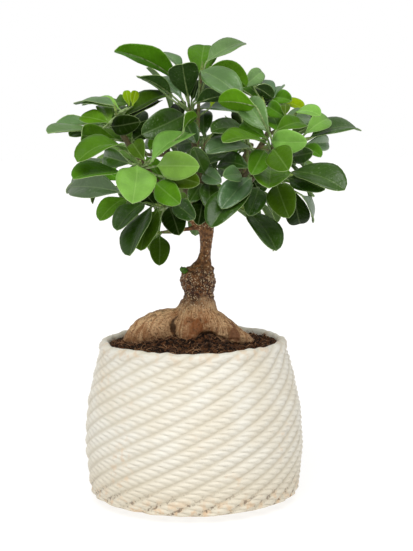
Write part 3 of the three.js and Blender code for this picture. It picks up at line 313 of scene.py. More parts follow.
# Leafy shoots: the depth at which leaves start, the stem's points and the leaf rows. A row is
# the leaf's tone, base x and z, tip x and z, the width that shows (negative for the underside),
# then if they differ from the usual the arch, whether the tip goes away (1) or comes forward
# (-1), and the blade's length.
SHOOTS = {
    "top": (0, [(2.2, 2.4, 247), (0.5, 1, 259), (-1, 0, 271)], [
        ("b", -5, 282.5, -50.4, 306, -13.5, 5.5), ("p", -5, 291, -21, 304.5, 4, 3, 1),
        ("d", -0.8, 273, -5, 297.5, -20.5, 2), ("d", -12, 276, -33.5, 289, -5.5, 1.5),
        ("p", -16, 276.5, -35, 288.3, 2, 1), ("g", -5, 273, -24, 287.5, 7, 2.5, 1),
        ("d", 2, 271, 16, 283, 10, 2, 1), ("d", 3, 270, 24, 275, -7, 2),
        ("y", 14, 268, 17.4, 279, 7, 0.5, 1, 15), ("k", 1, 272, 5, 286, 7, 1, 1),
    ]),
    "top_right": (-12, [(4.2, 3, 237), (5, 0, 252), (6, -5, 272), (8, -10, 290)], [
        ("m", 7, 287, 10, 309.4, 21, 1, 1), ("p", 11, 297.5, 36.5, 311, 8.5, 2),
        ("b", 13, 294, 38.5, 281.5, -12, 6, 1), ("p", 7, 292, 34, 274.5, 13, 4),
    ]),
    "right_back_top": (26, [(53.6, 6, 250), (53, 14, 262), (51, 24, 271)], [
        ("p", 35, 280, 48.5, 291, 10, 2), ("m", 49, 273, 37, 284, 12, 2),
        ("d", 43, 281, 56, 273, -8, 2), ("g", 56, 273, 47.5, 286, 5.5, 2),
        ("m", 57, 273, 68.5, 271.5, 5, 2.5), ("d", 60, 273, 45, 269.5, -6, 1),
        ("y", 59, 270, 76.5, 265.4, 5, 2), ("g", 57, 271, 62, 281, 5, 2, 1),
    ]),
    "right_front": (-62, [(47.5, -41, 231), (51, -50, 237), (53.5, -60, 243)], [
        ("b", 45, 267.5, 19.5, 271.5, -10, 1.5, 1), ("p", 54, 249, 38, 272, 13.5, 4),
        ("l", 55, 244.5, 79, 243.5, 14, 4, -1), ("m", 57, 250.5, 77.5, 256, 7, 3),
        ("m", 52, 246, 36, 257.5, 13, 3), ("m", 52, 243, 22, 244.5, 4.5, 3, -1),
        ("m", 50, 238, 41, 222, 14, 3), ("m", 56, 239, 66.5, 224.5, 18, 2),
    ]),
    "right_mid": (-20, [(52, 6, 248), (60, -8, 253), (67, -20, 259)], [
        ("l", 71, 263.2, 88, 261.2, 5, 2.4), ("m", 66, 259, 52, 268, 8, 3),
        ("g", 60, 254, 83, 259, 9, 3), ("o", 64, 261, 64.5, 269, 4, 1, 1, 14),
        ("m", 61, 249, 56, 261, 8, 2, 1),
    ]),
    "right_outer": (-10, [(47, 6, 240), (62, -1, 241.5), (75, -8, 245)], [
        ("l", 77, 248.5, 93.5, 259, 8.5, 3), ("d", 80, 245.5, 114, 252, 9, 4.5),
        ("g", 77, 242, 93.5, 243, 9, 3), ("m", 73, 238.5, 88.5, 233.5, 5, 3),
        ("d", 69, 233.5, 83, 236.5, 7, 2.5, -1),
    ]),
    "right_low": (-32, [(40.6, -26.6, 221), (52, -30, 219.5), (64, -32, 222)], [
        ("d", 67, 223, 104.5, 211, 12.5, 4), ("d", 66, 219, 90.8, 211.3, 11, 3),
        ("o", 58, 216, 66.5, 192.5, 19, 3), ("k", 69, 213, 74, 187.5, 13, 3, 1),
        ("g", 75, 208, 82.2, 190, 3, 2, 1), ("m", 54, 226, 53, 212.5, 25, 2, -1),
    ]),
    "centre_right_low": (-36, [(30, -13, 208.5), (33, -25, 211), (37, -35, 216)], [
        ("g", 41, 220, 20.5, 199, 12, 3), ("d", 42, 215, 13, 187, 14, 4),
        ("d", 46, 213, 39, 194, 15, 3), ("d", 41, 226, 18, 229.5, 9, 3),
        ("p", 34, 222, 22, 221, 5, 2, -1),
    ]),
    "low_right": (-13, [(21, -6.4, 198.5), (27, -8, 199), (33, -12, 199.5)], [
        ("d", 36.5, 197.5, 57.8, 170, 12.5, 3),
    ]),
    "centre": (-2, [(35, 2, 220.5), (38, 0, 232), (39, -2, 245)], [
        ("g", 44, 237, 10.5, 236.5, 7, 5, -1), ("d", 30, 235, 9, 230.5, 8, 3),
        ("d", 39, 251, 14, 251.5, 7, 3, -1), ("g", 34, 263, 1.4, 264, 6.5, 4.5, 1),
        ("k", 38, 249, 31.5, 265, 8, 2, 1), ("g", 33, 228, 18, 222, 6, 2, 1),
    ]),
    "centre_low": (-10, [(7.5, 2, 210), (10, -4, 215), (11, -9, 222)], [
        ("d", 12, 219, 12, 199.5, 13, 2), ("g", 9, 224, 20.5, 217, 7, 3),
        ("k", 8, 208, 4.5, 188, 11, 3), ("d", 9, 223, 2, 241, 9, 2, -1),
        ("d", 7, 216, -1, 204, 8, 2),
    ]),
    "centre_left": (-12, [(2.4, 2.6, 246), (-3, -5, 251), (-8, -11, 256)], [
        ("d", -4, 263, -33, 250, 16, 5), ("k", -15, 252, -38.5, 246, 8, 4),
        ("m", -8, 250, -28, 240, -9, 3), ("d", -4, 259, 4, 244, 8, 2, -1),
        ("k", -5, 261, -9, 270.5, 7, 1, 1),
    ]),
    "left_front": (-61, [(-30.4, -34, 225), (-31, -47, 227), (-31, -60, 231)], [
        ("m", -41, 237, -77.3, 232.3, 7, 8), ("d", -40, 230, -59, 235.5, 12, 3),
        ("l", -36.5, 229, -40, 203.5, 25, 2), ("l", -27, 231, 1, 249.7, 9, 4),
        ("m", -5, 251, 4.5, 262, -3, 2, 1, 26), ("l", -23, 228.5, 6, 228, 13, 3, -1),
        ("b", -24, 217, -8, 203, 16, 2), ("o", -18, 221, 5.5, 216.5, 10, 3),
        ("m", -45, 223.5, -80, 220.5, 7, 3), ("o", -31, 232, -39, 244, 14, 2),
    ]),
    "left_upper": (-16, [(-45, -9.4, 249), (-48, -13, 256), (-49, -16, 264)], [
        ("y", -41, 269, -43, 279.3, 5, 1, 1, 13), ("y", -39, 269, -36.5, 279.3, 5, 1, 1, 13),
        ("p", -62, 252.5, -96.5, 251.3, 4, 1), ("p", -66, 250.5, -82, 249.5, 4.5, 1),
        ("p", -55, 255.5, -90, 254, -4.5, 2.8), ("m", -55, 258, -74, 262, 8, 1),
        ("l", -54, 257, -60, 270, 6, 2), ("l", -47, 266.5, -71.3, 270, 5, 3),
        ("p", -50, 269, -77.3, 271.2, 3, 1.5, 1), ("m", -41, 270, -52, 270.5, 4, 1.5, 1),
        ("o", -46, 261, -13.5, 277.8, 8.5, 2), ("k", -54, 255.5, -34, 258.5, 10, 3, -1),
        ("m", -50, 257, -48, 268.5, 5, 1.5, 1), ("o", -46, 257, -20, 273, 7, 1.5, 1),
    ]),
    "left_mid": (0, [(-36, -8, 233), (-41, -4, 240), (-43, 0, 246)], [
        ("m", -48, 246, -74, 249.8, -9, 3), ("g", -58, 234, -84, 212, 5, 3, 1),
        ("m", -30, 235, -20, 219, 12, 2), ("d", -39, 250, -32, 266, 10, 2, 1),
    ]),
    "left_outer": (-15, [(-23.6, -23.4, 213.6), (-34, -20, 213), (-44, -16, 214.5)], [
        ("g", -46, 210.5, -82, 214.8, 14, 4), ("m", -43, 207, -62.5, 191.8, 9, 3),
        ("b", -46, 218, -66, 226, 9, 3),
    ]),
    "left_low": (-36, [(-11, -13, 201), (-16, -24, 201), (-20, -33, 203)], [
        ("d", -31, 204, -51, 185, 9, 3), ("d", -26.5, 202, -43, 168, 10, 1.5),
        ("o", -22, 199, -35, 171, 14, 3), ("k", -15, 201, -8.5, 181.5, 16, 2),
        ("d", -12, 205, 2, 192.5, 12, 2), ("k", -22, 199, -32, 211, 10, 2, 1),
    ]),
    "twig_end": (-12, [(-13, -7.4, 184.4), (-17, -9, 184.2), (-20.5, -10.5, 184)], [
        ("o", -22, 181.5, -22.5, 160.8, 10, 2),
    ]),
    "inner_centre": (15, [(4.6, 3, 232), (8, 9, 240), (12, 14, 246)], [
        ("d", 13, 247, 28, 252.5, 11, 2, 1), ("m", 16, 246, 36, 247, 12, 3, 1),
        ("k", 10, 250, 1, 259, 12, 2, 1), ("m", 14, 243, 32, 238, 12, 3, -1),
        ("d", 8, 246, -9, 243, 13, 3, 1), ("d", 11, 241, 15, 226, 13, 2, -1),
        ("d", 9, 247, 9, 266, 9, 2, 1),
    ]),
    "inner_right": (10, [(21, -6, 199), (27, 3, 209), (31, 9, 218)], [
        ("d", 34, 221, 49, 228, 13, 3), ("k", 33, 217, 45, 205, 14, 3),
        ("d", 28, 212, 28, 197, 13, 3), ("d", 35, 214, 52, 213, 12, 3),
    ]),
}
# Shoots out of sight at the back: the turn that a shoot's leaves start from, their number and
# the stem
BACK_SHOOTS = {
    "back_low_left": (3, 5, [(-3, 22.5, 211), (-16, 30, 212), (-27, 34, 216)]),
    "back_left": (11, 6, [(-16.6, 40, 236), (-30, 44, 236), (-42, 47, 240)]),
    "back_top_left": (23, 6, [(-17.6, 41, 237), (-15, 43, 243), (-10, 45, 250)]),
    "back_middle": (31, 6, [(-9.5, 31.4, 221), (-4, 45, 226), (2, 58, 234)]),
    "back_low": (43, 6, [(21, 19, 206), (17, 35, 209), (13, 48, 216)]),
    "back_low_right": (62, 5, [(27, 26.6, 214.6), (40, 31, 215), (50, 35, 219)]),
    "back_right": (67, 6, [(42, 42, 239), (55, 44, 238), (66, 45, 240)]),
    "back_top_right": (73, 6, [(42.6, 42.6, 240), (36, 45, 248), (29, 45, 257)]),
}

# Leaf tones by their letter in the lists above, and how strongly their wax mirrors. Some tones
# hold painted light: y paints leaves lit through and in full light, g and p a painted sheen on
# top of the wax's own, o and k painted shade inside the crown.
TONES = {
    "y": ("lit_yellow_green", 0.02), "l": ("light_green", 0.2), "b": ("bright_green", 0.12),
    "m": ("mid_green", 0.08), "d": ("dark_green", 0.48), "g": ("sheen_grey_green", 1.0),
    "p": ("pale_green", 0.5), "o": ("olive_green", 0.06), "k": ("shaded_deep_green", 0.02),
}
BACK_TONES = "dmdlkdgm"


def linear(hex_colour):
    """An sRGB hex colour as linear red, green, blue and alpha."""
    channels = [int(hex_colour[i : i + 2], 16) / 255 for i in (1, 3, 5)]
    return [c / 12.92 if c <= 0.04045 else ((c + 0.055) / 1.055) ** 2.4 for c in channels] + [1.0]


def lerp(a, b, t):
    return a + (b - a) * t


def mixed(first, second, share):
    return [lerp(a, b, share) for a, b in zip(first, second)]


def clamp(value, low=0.0, high=1.0):
    return max(low, min(high, value))


def smooth_step(low, high, value):
    t = clamp((value - low) / (high - low))
    return t * t * (3 - 2 * t)


def draw(number):
    """A repeatable draw between 0 and 1 for a numbered leaf or lump."""
    value = math.sin(number * 12.9898) * 43758.5453
    return value - math.floor(value)


def uneven(place, rows):
    """How far unevenness raises a place, in mm."""
    x, y, z = place
    return sum(
        height * noise.noise((x * waves, y * waves, z * upright + shift))
        for height, waves, upright, shift in rows
    )


class Line:
    """A smooth line through points, walked by the share of its length."""

    STEPS = 200

    def __init__(self, points):
        self.points = [Vector(p[:3]) for p in points]
        places = [self.at_knot(i / self.STEPS) for i in range(self.STEPS + 1)]
        self.lengths = [0.0]
        for a, b in zip(places, places[1:]):
            self.lengths.append(self.lengths[-1] + (b - a).length)

    def at_knot(self, t):
        points = self.points
        reach = (len(points) - 1) * t
        index = min(int(reach), len(points) - 2)
        weight = reach - index
        before = points[index - 1] if index > 0 else points[0] * 2 - points[1]
        after = points[index + 2] if index + 2 < len(points) else points[-1] * 2 - points[-2]
        here, there = points[index], points[index + 1]
        pairs = ((before, here), (here, there), (there, after))
        d0, d1, d2 = [max(math.sqrt((b - a).length), 1e-4) for a, b in pairs]
        leave = ((here - before) / d0 - (there - before) / (d0 + d1) + (there - here) / d1) * d1
        arrive = ((there - here) / d1 - (after - here) / (d1 + d2) + (after - there) / d2) * d1
        square = weight * weight
        cube = square * weight
        place = here * (2 * cube - 3 * square + 1) + there * (3 * square - 2 * cube)
        return place + leave * (cube - 2 * square + weight) + arrive * (cube - square)

    def knot(self, share):
        target = share * self.lengths[-1]
        low = 0
        while low < self.STEPS - 1 and self.lengths[low + 1] < target:
            low += 1
        gap = self.lengths[low + 1] - self.lengths[low]
        return (low + (target - self.lengths[low]) / max(gap, 1e-9)) / self.STEPS

    def at(self, share):
        return self.at_knot(clamp(self.knot(share)))

    def heading(self, share):
        t = clamp(self.knot(share), 1e-4, 1 - 1e-4)
        return (self.at_knot(t + 1e-4) - self.at_knot(t - 1e-4)).normalized()


def radius_along(radii, share):
    reach = share * (len(radii) - 1)
    index = min(int(reach), len(radii) - 2)
    return lerp(radii[index], radii[index + 1], reach - index)


def curved_between(rows, reach):
    """The values between numbered rows, on a smooth curve through them."""
    index = min(int(reach), len(rows) - 2)
    w = reach - index
    before, after = rows[max(index - 1, 0)], rows[min(index + 2, len(rows) - 1)]
    found = []
    for p, q, r, s in zip(before, rows[index], rows[index + 1], after):
        bend = 2 * p - 5 * q + 4 * r - s
        twist = 3 * q - p - 3 * r + s
        found.append(0.5 * (2 * q + (r - p) * w + bend * w * w + twist * w**3))
    return found


# Meshes and materials in general


def add_tube(bm, centres, radii, sides, material=0):
    """A round limb through the centres, closed at both ends. Returns its rings of vertices."""
    circle = bmesh.ops.create_circle(bm, cap_ends=True, segments=sides, radius=1)
    face = circle["verts"][0].link_faces[0]
    first_edges = list(face.edges)
    spokes = [loop.vert.co.copy() for loop in face.loops]
    heading = (centres[1] - centres[0]).normalized()
    turn = heading.to_track_quat("Z", "Y")
    rings = []
    for i, (centre, radius) in enumerate(zip(centres, radii)):
        if i > 0:
            ahead = (centres[min(i + 1, len(centres) - 1)] - centres[i - 1]).normalized()
            turn = heading.rotation_difference(ahead) @ turn
            heading = ahead
            face = bmesh.ops.extrude_discrete_faces(bm, faces=[face])["faces"][0]
        for spoke, loop in zip(spokes, face.loops):
            loop.vert.co = centre + (turn @ spoke) * radius
        rings.append([loop.vert for loop in face.loops])
    bmesh.ops.contextual_create(bm, geom=first_edges)
    for skin in {skin for ring in rings for vert in ring for skin in vert.link_faces}:
        skin.material_index = material
    return rings


def add_limb(bm, points, radii, steps, sides, material=0):
    """A tube along a smooth line through the points. Returns its line."""
    line = Line(points)
    shares = [i / steps for i in range(steps + 1)]
    widths = [radius_along(radii, share) for share in shares]
    add_tube(bm, [line.at(share) for share in shares], widths, sides, material)
    return line


def turn_round(bm, line, steps):
    """Turns a line of vertices round the upright axis into a skin."""
    edges = [bm.edges.new(pair) for pair in zip(line, line[1:])]
    turn = {"cent": (0, 0, 0), "axis": UP, "angle": math.tau, "use_merge": True}
    bmesh.ops.spin(bm, geom=line + edges, steps=steps, **turn)
    bmesh.ops.remove_doubles(bm, verts=bm.verts, dist=TINY)


def add_object(name, data):
    made = bpy.data.objects.new(name, data)
    bpy.context.scene.collection.objects.link(made)
    return made


def make_piece(name, bm, materials):
    """Turns a bmesh in millimetres into an object in metres that rides on the root. Its skin is
    smooth but for the cut edges of leaves."""
    bmesh.ops.recalc_face_normals(bm, faces=bm.faces)
    for face in bm.faces:
        face.smooth = face.material_index != CUT_EDGE
    bmesh.ops.scale(bm, vec=(MM, MM, MM), verts=bm.verts)
    mesh = bpy.data.meshes.new(name)
    bm.to_mesh(mesh)
    bm.free()
    for material in materials:
        mesh.materials.append(material)
    piece = add_object(name, mesh)
    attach(piece, "root")
    return piece


def feed(tree, node, feeds):
    """Links or sets a shader node's inputs."""
    for key, value in feeds.items():
        if isinstance(value, bpy.types.NodeSocket):
            tree.links.new(value, node.inputs[key])
        else:
            node.inputs[key].default_value = value


def add_node(tree, kind, feeds, output=None, **settings):
    """Adds a shader node with its settings and what feeds it, and gives one of its outputs."""
    made = tree.nodes.new("ShaderNode" + kind)
    for key, value in settings.items():
        setattr(made, key, value)
    feed(tree, made, feeds)
    if output is not None:
        return made.outputs[output]
    return next(socket for socket in made.outputs if socket.enabled)


def new_material(name, noises=()):
    """A material, its node tree, the place on the piece, and a noise for each size of lumps in
    mm and detail."""
    material = bpy.data.materials.new(name)
    material.use_nodes = True
    tree = material.node_tree
    place = add_node(tree, "TexCoord", {}, "Object")
    found = [material, tree, place]
    for lumps, detail in noises:
        feeds = {"Vector": place, "Scale": size(lumps), "Detail": detail}
        found.append(add_node(tree, "TexNoise", feeds))
    return found


def finished(material, colour, roughness, more):
    """The material with its surface's colour and roughness, and what else that takes."""
    tree = material.node_tree
    feeds = {"Base Color": colour, "Roughness": roughness, **more}
    feed(tree, tree.nodes["Principled BSDF"], feeds)
    return material


def mask(tree, *parts, operation="MULTIPLY"):
    """One mask out of several. A part is a mask, or a source with the values at which it starts
    and is full, then if they aren't 1 and 0 how strong it gets and how weak it stays."""
    made = None
    for part in parts:
        if isinstance(part, tuple):
            limits = dict(zip((0, 1, 2, 4, 3), part))
            part = add_node(tree, "MapRange", limits, interpolation_type="SMOOTHSTEP")
        if made is None:
            made = part
        else:
            made = add_node(tree, "Math", {0: made, 1: part}, operation=operation)
    return made


def painted(tree, colour, coats):
    """A colour with coats of others over it, each with the parts of its mask."""
    for coat, *parts in coats:
        feeds = {0: mask(tree, *parts), 6: colour, 7: coat}
        colour = add_node(tree, "Mix", feeds, data_type="RGBA")
    return colour


def size(millimetres):
    """The noise scale whose lumps are that many millimetres across."""
    return 1 / (millimetres * MM)


# Pot


def pot_radius(z):
    if z > SHOULDER_Z:
        rise = max(0, (z - RIM_START) / RIM_ROUND)
        return SHOULDER_RADIUS - RIM_INSET * (1 - math.sqrt(max(0, 1 - rise * rise)))
    if z > BELLY_Z:
        reach = (z - BELLY_Z) / (SHOULDER_Z - BELLY_Z)
        return lerp(BELLY_RADIUS, SHOULDER_RADIUS, reach**SHOULDER_CURVE)
    drop = (BELLY_Z - z) / BELLY_Z
    foot = max(0, (FOOT_ROUND - z) / FOOT_ROUND)
    return BELLY_RADIUS - FOOT_DROP * drop**DROP_CURVE - FOOT_INSET * foot**FOOT_CURVE


def cavity_radius(z):
    return max(MOUTH_RADIUS, min(pot_radius(z), BELLY_RADIUS) - WALL)


def pot_profile():
    """Radius, height and share of the relief, from the middle of the base, up the outside, over
    the rim and down to the middle of the floor."""
    profile = [(r, 0, 0) for r in (0, 20, 40, pot_radius(0))]
    profile += [(pot_radius(z), z, smooth_step(0, 3, z)) for z in FOOT_ROWS]
    rows = round((RIM_START - FOOT_TOP) / ROW_HEIGHT)
    heights = [lerp(FOOT_TOP, RIM_START, i / rows) for i in range(rows + 1)]
    profile += [(pot_radius(z), z, 1) for z in heights]
    for turn in RIM_TURNS:
        z = RIM_START + RIM_ROUND * math.sin(turn * math.pi / 2)
        profile.append((pot_radius(z), z, 1 - 0.3 * turn))
    for turn, share in MOUTH_TURNS:
        angle = turn * math.pi / 2
        radius = MOUTH_RADIUS + MOUTH_ROUND * (1 - math.sin(angle))
        profile.append((radius, POT_HEIGHT - MOUTH_ROUND * (1 - math.cos(angle)), share))
    profile += [(cavity_radius(z), z, 0) for z in INSIDE_ROWS]
    return profile + [(r, FLOOR, 0) for r in (cavity_radius(FLOOR) - 2, 30, 0)]


def rope_form(angle, z, settings):
    """How far the surface lies under the ropes' crests there, in mm, and how hollow it is."""
    turns = ROPES * (angle - ROPE_TURN - ROPE_LEAN * z) / math.tau
    across = turns - math.floor(turns)
    arc = max(0.0, math.sin(math.pi * across))
    wrap = settings.strand_wrap * smooth_step(*STRAND_CURLS, across)
    strand = STRAND_COUNT * angle / math.tau + z / STRAND_PITCH + STRAND_START + wrap
    shown = smooth_step(*STRAND_RISES, across) * (1 - smooth_step(*STRAND_ENDS, across))
    shown *= 0.5 + 1.1 * arc * arc
    furrow = (1 - abs(math.sin(math.pi * strand)) ** STRAND_ROUNDNESS) * shown
    groove = 1 - arc**ROPE_ROUNDNESS
    depth = (settings.rope_relief * groove + settings.strand_relief * furrow) / MM
    return depth, clamp(0.8 * groove + 0.35 * furrow)


def build_pot(settings):
    bm = bmesh.new()
    keys = ("level", "relief", "hollow")
    level, relief, hollow = [bm.verts.layers.float.new(key) for key in keys]
    line = []
    inside = False
    for r, z, share in pot_profile():
        inside = inside or z == POT_HEIGHT
        vert = bm.verts.new((0, -r, z))
        vert[level] = POT_HEIGHT if inside else z
        vert[relief] = share
        line.append(vert)
    turn_round(bm, line, ROPES * COLUMNS_PER_ROPE)
    for vert in bm.verts:
        x, y, z = vert.co
        share = vert[relief]
        across = ROPES * math.atan2(x, -y) / math.tau
        across -= COLUMN_CROWDING * math.sin(math.tau * across)
        angle = math.tau * across / ROPES + ROPE_LEAN * vert[level] + ROPE_TURN
        depth, vert[hollow] = [value * share for value in rope_form(angle, z, settings)]
        radius = math.hypot(x, y) - depth - share * uneven(vert.co, PRESSED)
        slip = share * uneven(vert.co, SLIPPED)
        vert.co = (radius * math.sin(angle), -radius * math.cos(angle), z + slip)
        lift = RIM_TILT * vert.co.y + uneven(vert.co, RIM_WAVES)
        vert.co.z += lift * smooth_step(*RIM_SWAY, z)
    for spare in ("level", "relief"):
        bm.verts.layers.float.remove(bm.verts.layers.float[spare])
    pot = make_piece("rope_pot", bm, [glaze_material(settings)])
    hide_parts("pot")


def glaze_material(settings):
    """Stoneware pressed in a rope mould under a matt cream glaze. The glaze is a little darker in
    the furrows, where it pooled and where painted shade lies, and in patches where it is thicker;
    painted shade darkens it low down, and the warm clay stains it low down and on the rim, where
    it ran thin."""
    noises = ((22, 3), (5, 3), (34, 2), (2, 2), (1.2, 4))
    made = new_material("Matt cream glaze on pressed stoneware", noises)
    material, tree, place, patches, blots, far, grit, fibres = made
    height = add_node(tree, "SeparateXYZ", {0: place}, "Z")
    hollow = add_node(tree, "Attribute", {}, "Fac", attribute_name="hollow")
    # Patches of thicker glaze, and painted shade towards the foot.
    thick_patches_and_low_shade = [(patches, 0.35, 0.65, 0.6), (height, 0.055, 0.012)]
    thin = [(height, 0.022, 0.006, 0.75), (height, 0.1, 0.108, 0.4), (far, 0.58, 0.72, 0.4)]
    thick_patches_and_low_shade, thin = [mask(tree, *parts, operation="MAXIMUM") for parts in (thick_patches_and_low_shade, thin)]
    colour = painted(tree, settings.glaze_colour, [
        (settings.thick_glaze_and_low_shade, thick_patches_and_low_shade),
        # Partly glaze pooled in the furrows, partly painted shade in them.
        (settings.pooled_glaze_and_furrow_shade, (hollow, 0.15, 1, 0.6)),
        (settings.stain_colour, thin, (blots, 0.48, 0.66)),
        (linear("#6E5A48"), (grit, 0.5, 0.6, 0.8), (height, 0.026, 0.008), (hollow, 0.4, 0.7)),
    ])
    bump = add_node(tree, "Bump", {"Height": fibres, "Distance": 0.25 * MM})
    return finished(material, colour, 0.5, {"Normal": bump})


# Trunk


def add_stock(bm):
    rows = []
    for index, section in enumerate(STOCK):
        knobby = KNOB if KNOB_LOW < section[0] < KNOB_HIGH else KNOB * SMOOTHER
        lumps = [(draw(index * 17 + side) - 0.5) * knobby for side in range(LUMPS_ROUND)]
        rows.append((*section, *lumps))
    count = ROWS_PER_SECTION * (len(rows) - 1) + 1
    fine = [curved_between(rows, i / ROWS_PER_SECTION) for i in range(count)]
    rings = add_tube(bm, [UP * row[0] for row in fine], [1] * count, STOCK_SIDES)
    for ring, (z, middle, half_width, half_depth, *lumps) in zip(rings, fine):
        for vert in ring:
            angle = math.atan2(vert.co.x, vert.co.y)
            reach = angle / math.tau * LUMPS_ROUND % LUMPS_ROUND
            side = int(reach)
            near, far = lumps[side % LUMPS_ROUND], lumps[(side + 1) % LUMPS_ROUND]
            lump = lerp(near, far, smooth_step(0, 1, reach - side))
            vert.co.x = middle + math.sin(angle) * (half_width + lump)
            vert.co.y = STOCK_DEPTH - math.cos(angle) * (half_depth + lump)


def crease_depth(place):
    """How deep the creases between the roots are there, in mm."""
    right, front = place.x - ROOT_MIDDLE[0], ROOT_MIDDLE[1] - place.y
    direction, reach = math.degrees(math.atan2(right, front)), math.hypot(right, front)
    ragged = uneven(place, RAGGED_CREASE)
    depth = 0.0
    for rows in CREASES:
        pairs = list(zip(rows, rows[1:]))
        upper, lower = next((pair for pair in pairs if place.z > pair[1][0]), pairs[-1])
        share = clamp((upper[0] - place.z) / (upper[0] - lower[0]))
        at, width, deep = mixed(upper[1:], lower[1:], share)
        aside = math.radians((direction - at + 180) % 360 - 180) * reach + ragged * width * 0.4
        above = smooth_step(rows[0][0] + 3, rows[0][0], place.z)
        depth = max(depth, above * deep * (1 + 0.3 * ragged) * math.exp(-((aside / width) ** 2)))
    return depth


def nearness(place, spots):
    """1 in the middle of the nearest spot and 0 outside them all, with a ragged edge."""
    if place.z > SCARS_BELOW:
        return 0.0
    ragged = 1.5 + uneven(place, RAGGED_SPOT)
    return max(clamp(ragged - (place - Vector(spot[:3])).length / spot[3]) for spot in spots)


def bark_form(place, scar, settings):
    """How far the bark stands out there, in mm."""
    x, y, z = place
    collar = smooth_step(*COLLAR_START, z) * (1 - smooth_step(*COLLAR_END, z))
    root = 1 - smooth_step(*ROOTS_END, z)
    neck = smooth_step(*NECK_START, z)
    nearest = noise.voronoi((x * KNOB_WAVES, y * KNOB_WAVES, z * KNOB_WAVES_UP))[0][0]
    knobs = (0.42 - min(nearest, 0.85)) * 2 * settings.knob_height / MM
    crust, girdles = uneven(place, CRUST), uneven(place, GIRDLES)
    cracks = min(abs(uneven(place, SKIN_CRACKS)), 1) - 1
    height = collar * (knobs + crust + girdles) + neck * (crust * 0.5 + girdles * 0.4)
    height += root * (uneven(place, DENTS) + cracks * 0.4)
    return height - crease_depth(place) - scar * 0.8


def fibre_place(place):
    """Where a point of the skin lies among the fibres, which run out along every root."""
    right, back = place.x - ROOT_MIDDLE[0], place.y - ROOT_MIDDLE[1]
    reach = math.hypot(right, back) + TINY
    along = (reach * 0.75 - place.z * 0.65) * ALONG_FIBRES
    return Vector((right / reach * FIBRE_ROUND, back / reach * FIBRE_ROUND, along))


def grown_together(bm, step):
    """Turns the bmesh's limbs into one soft skin with faces of that size."""
    bmesh.ops.recalc_face_normals(bm, faces=bm.faces)
    rough = bpy.data.meshes.new("limbs")
    bm.to_mesh(rough)
    limbs = add_object("limbs", rough)
    skin = limbs.modifiers.new("one skin", "REMESH")
    skin.mode = "VOXEL"
    skin.voxel_size = step
    soften = limbs.modifiers.new("grown together", "SMOOTH")
    soften.factor = 0.5
    soften.iterations = SOFTENINGS
    depsgraph = bpy.context.evaluated_depsgraph_get()
    grown = bpy.data.meshes.new_from_object(limbs.evaluated_get(depsgraph))
    bm.clear()
    bm.from_mesh(grown)
    bm.normal_update()
    bpy.data.objects.remove(limbs)
    for mesh in (rough, grown):
        bpy.data.meshes.remove(mesh)


def build_trunk(settings):
    bm = bmesh.new()
    add_stock(bm)
    for limbs, sides, more in LIMBS:
        for limb in limbs:
            add_limb(bm, limb, [point[3] + more for point in limb], LIMB_STEPS, sides)
    grown_together(bm, settings.skin_step / MM)
    hollow, scar, fresh = [bm.verts.layers.float.new(key) for key in ("hollow", "scar", "fresh")]
    fibre = bm.verts.layers.float_vector.new("fibre_mm")
    for vert in bm.verts:
        vert[scar], vert[fresh] = nearness(vert.co, SCARS), nearness(vert.co, FRESH)
        vert[fibre] = fibre_place(vert.co)
        height = bark_form(vert.co, vert[scar], settings)
        # How hollow the skin is: the bark's material darkens it as painted shade.
        contrast = lerp(*HOLLOW_CONTRAST, smooth_step(*CRUST_START, vert.co.z))
        vert[hollow] = clamp(0.5 - height * contrast)
        vert.co += vert.normal * height
    trunk = make_piece("trunk_and_roots", bm, [bark_material(settings)])
    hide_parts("trunk")


def build_collar_bud(settings):
    """The green bud on the collar's left shoulder."""
    bm = bmesh.new()
    add_limb(bm, COLLAR_BUD, COLLAR_BUD_RADII, 12, 14)
    for vert in bm.verts:
        vert.co += (vert.co - COLLAR_BUD_MIDDLE).normalized() * uneven(vert.co, BUD_LUMPS)
    shades = (settings.mid_green, settings.dark_green)
    bud = make_piece("collar_bud", bm, [green_material("Mossy green bud", *shades, 0.6, 1.5)])


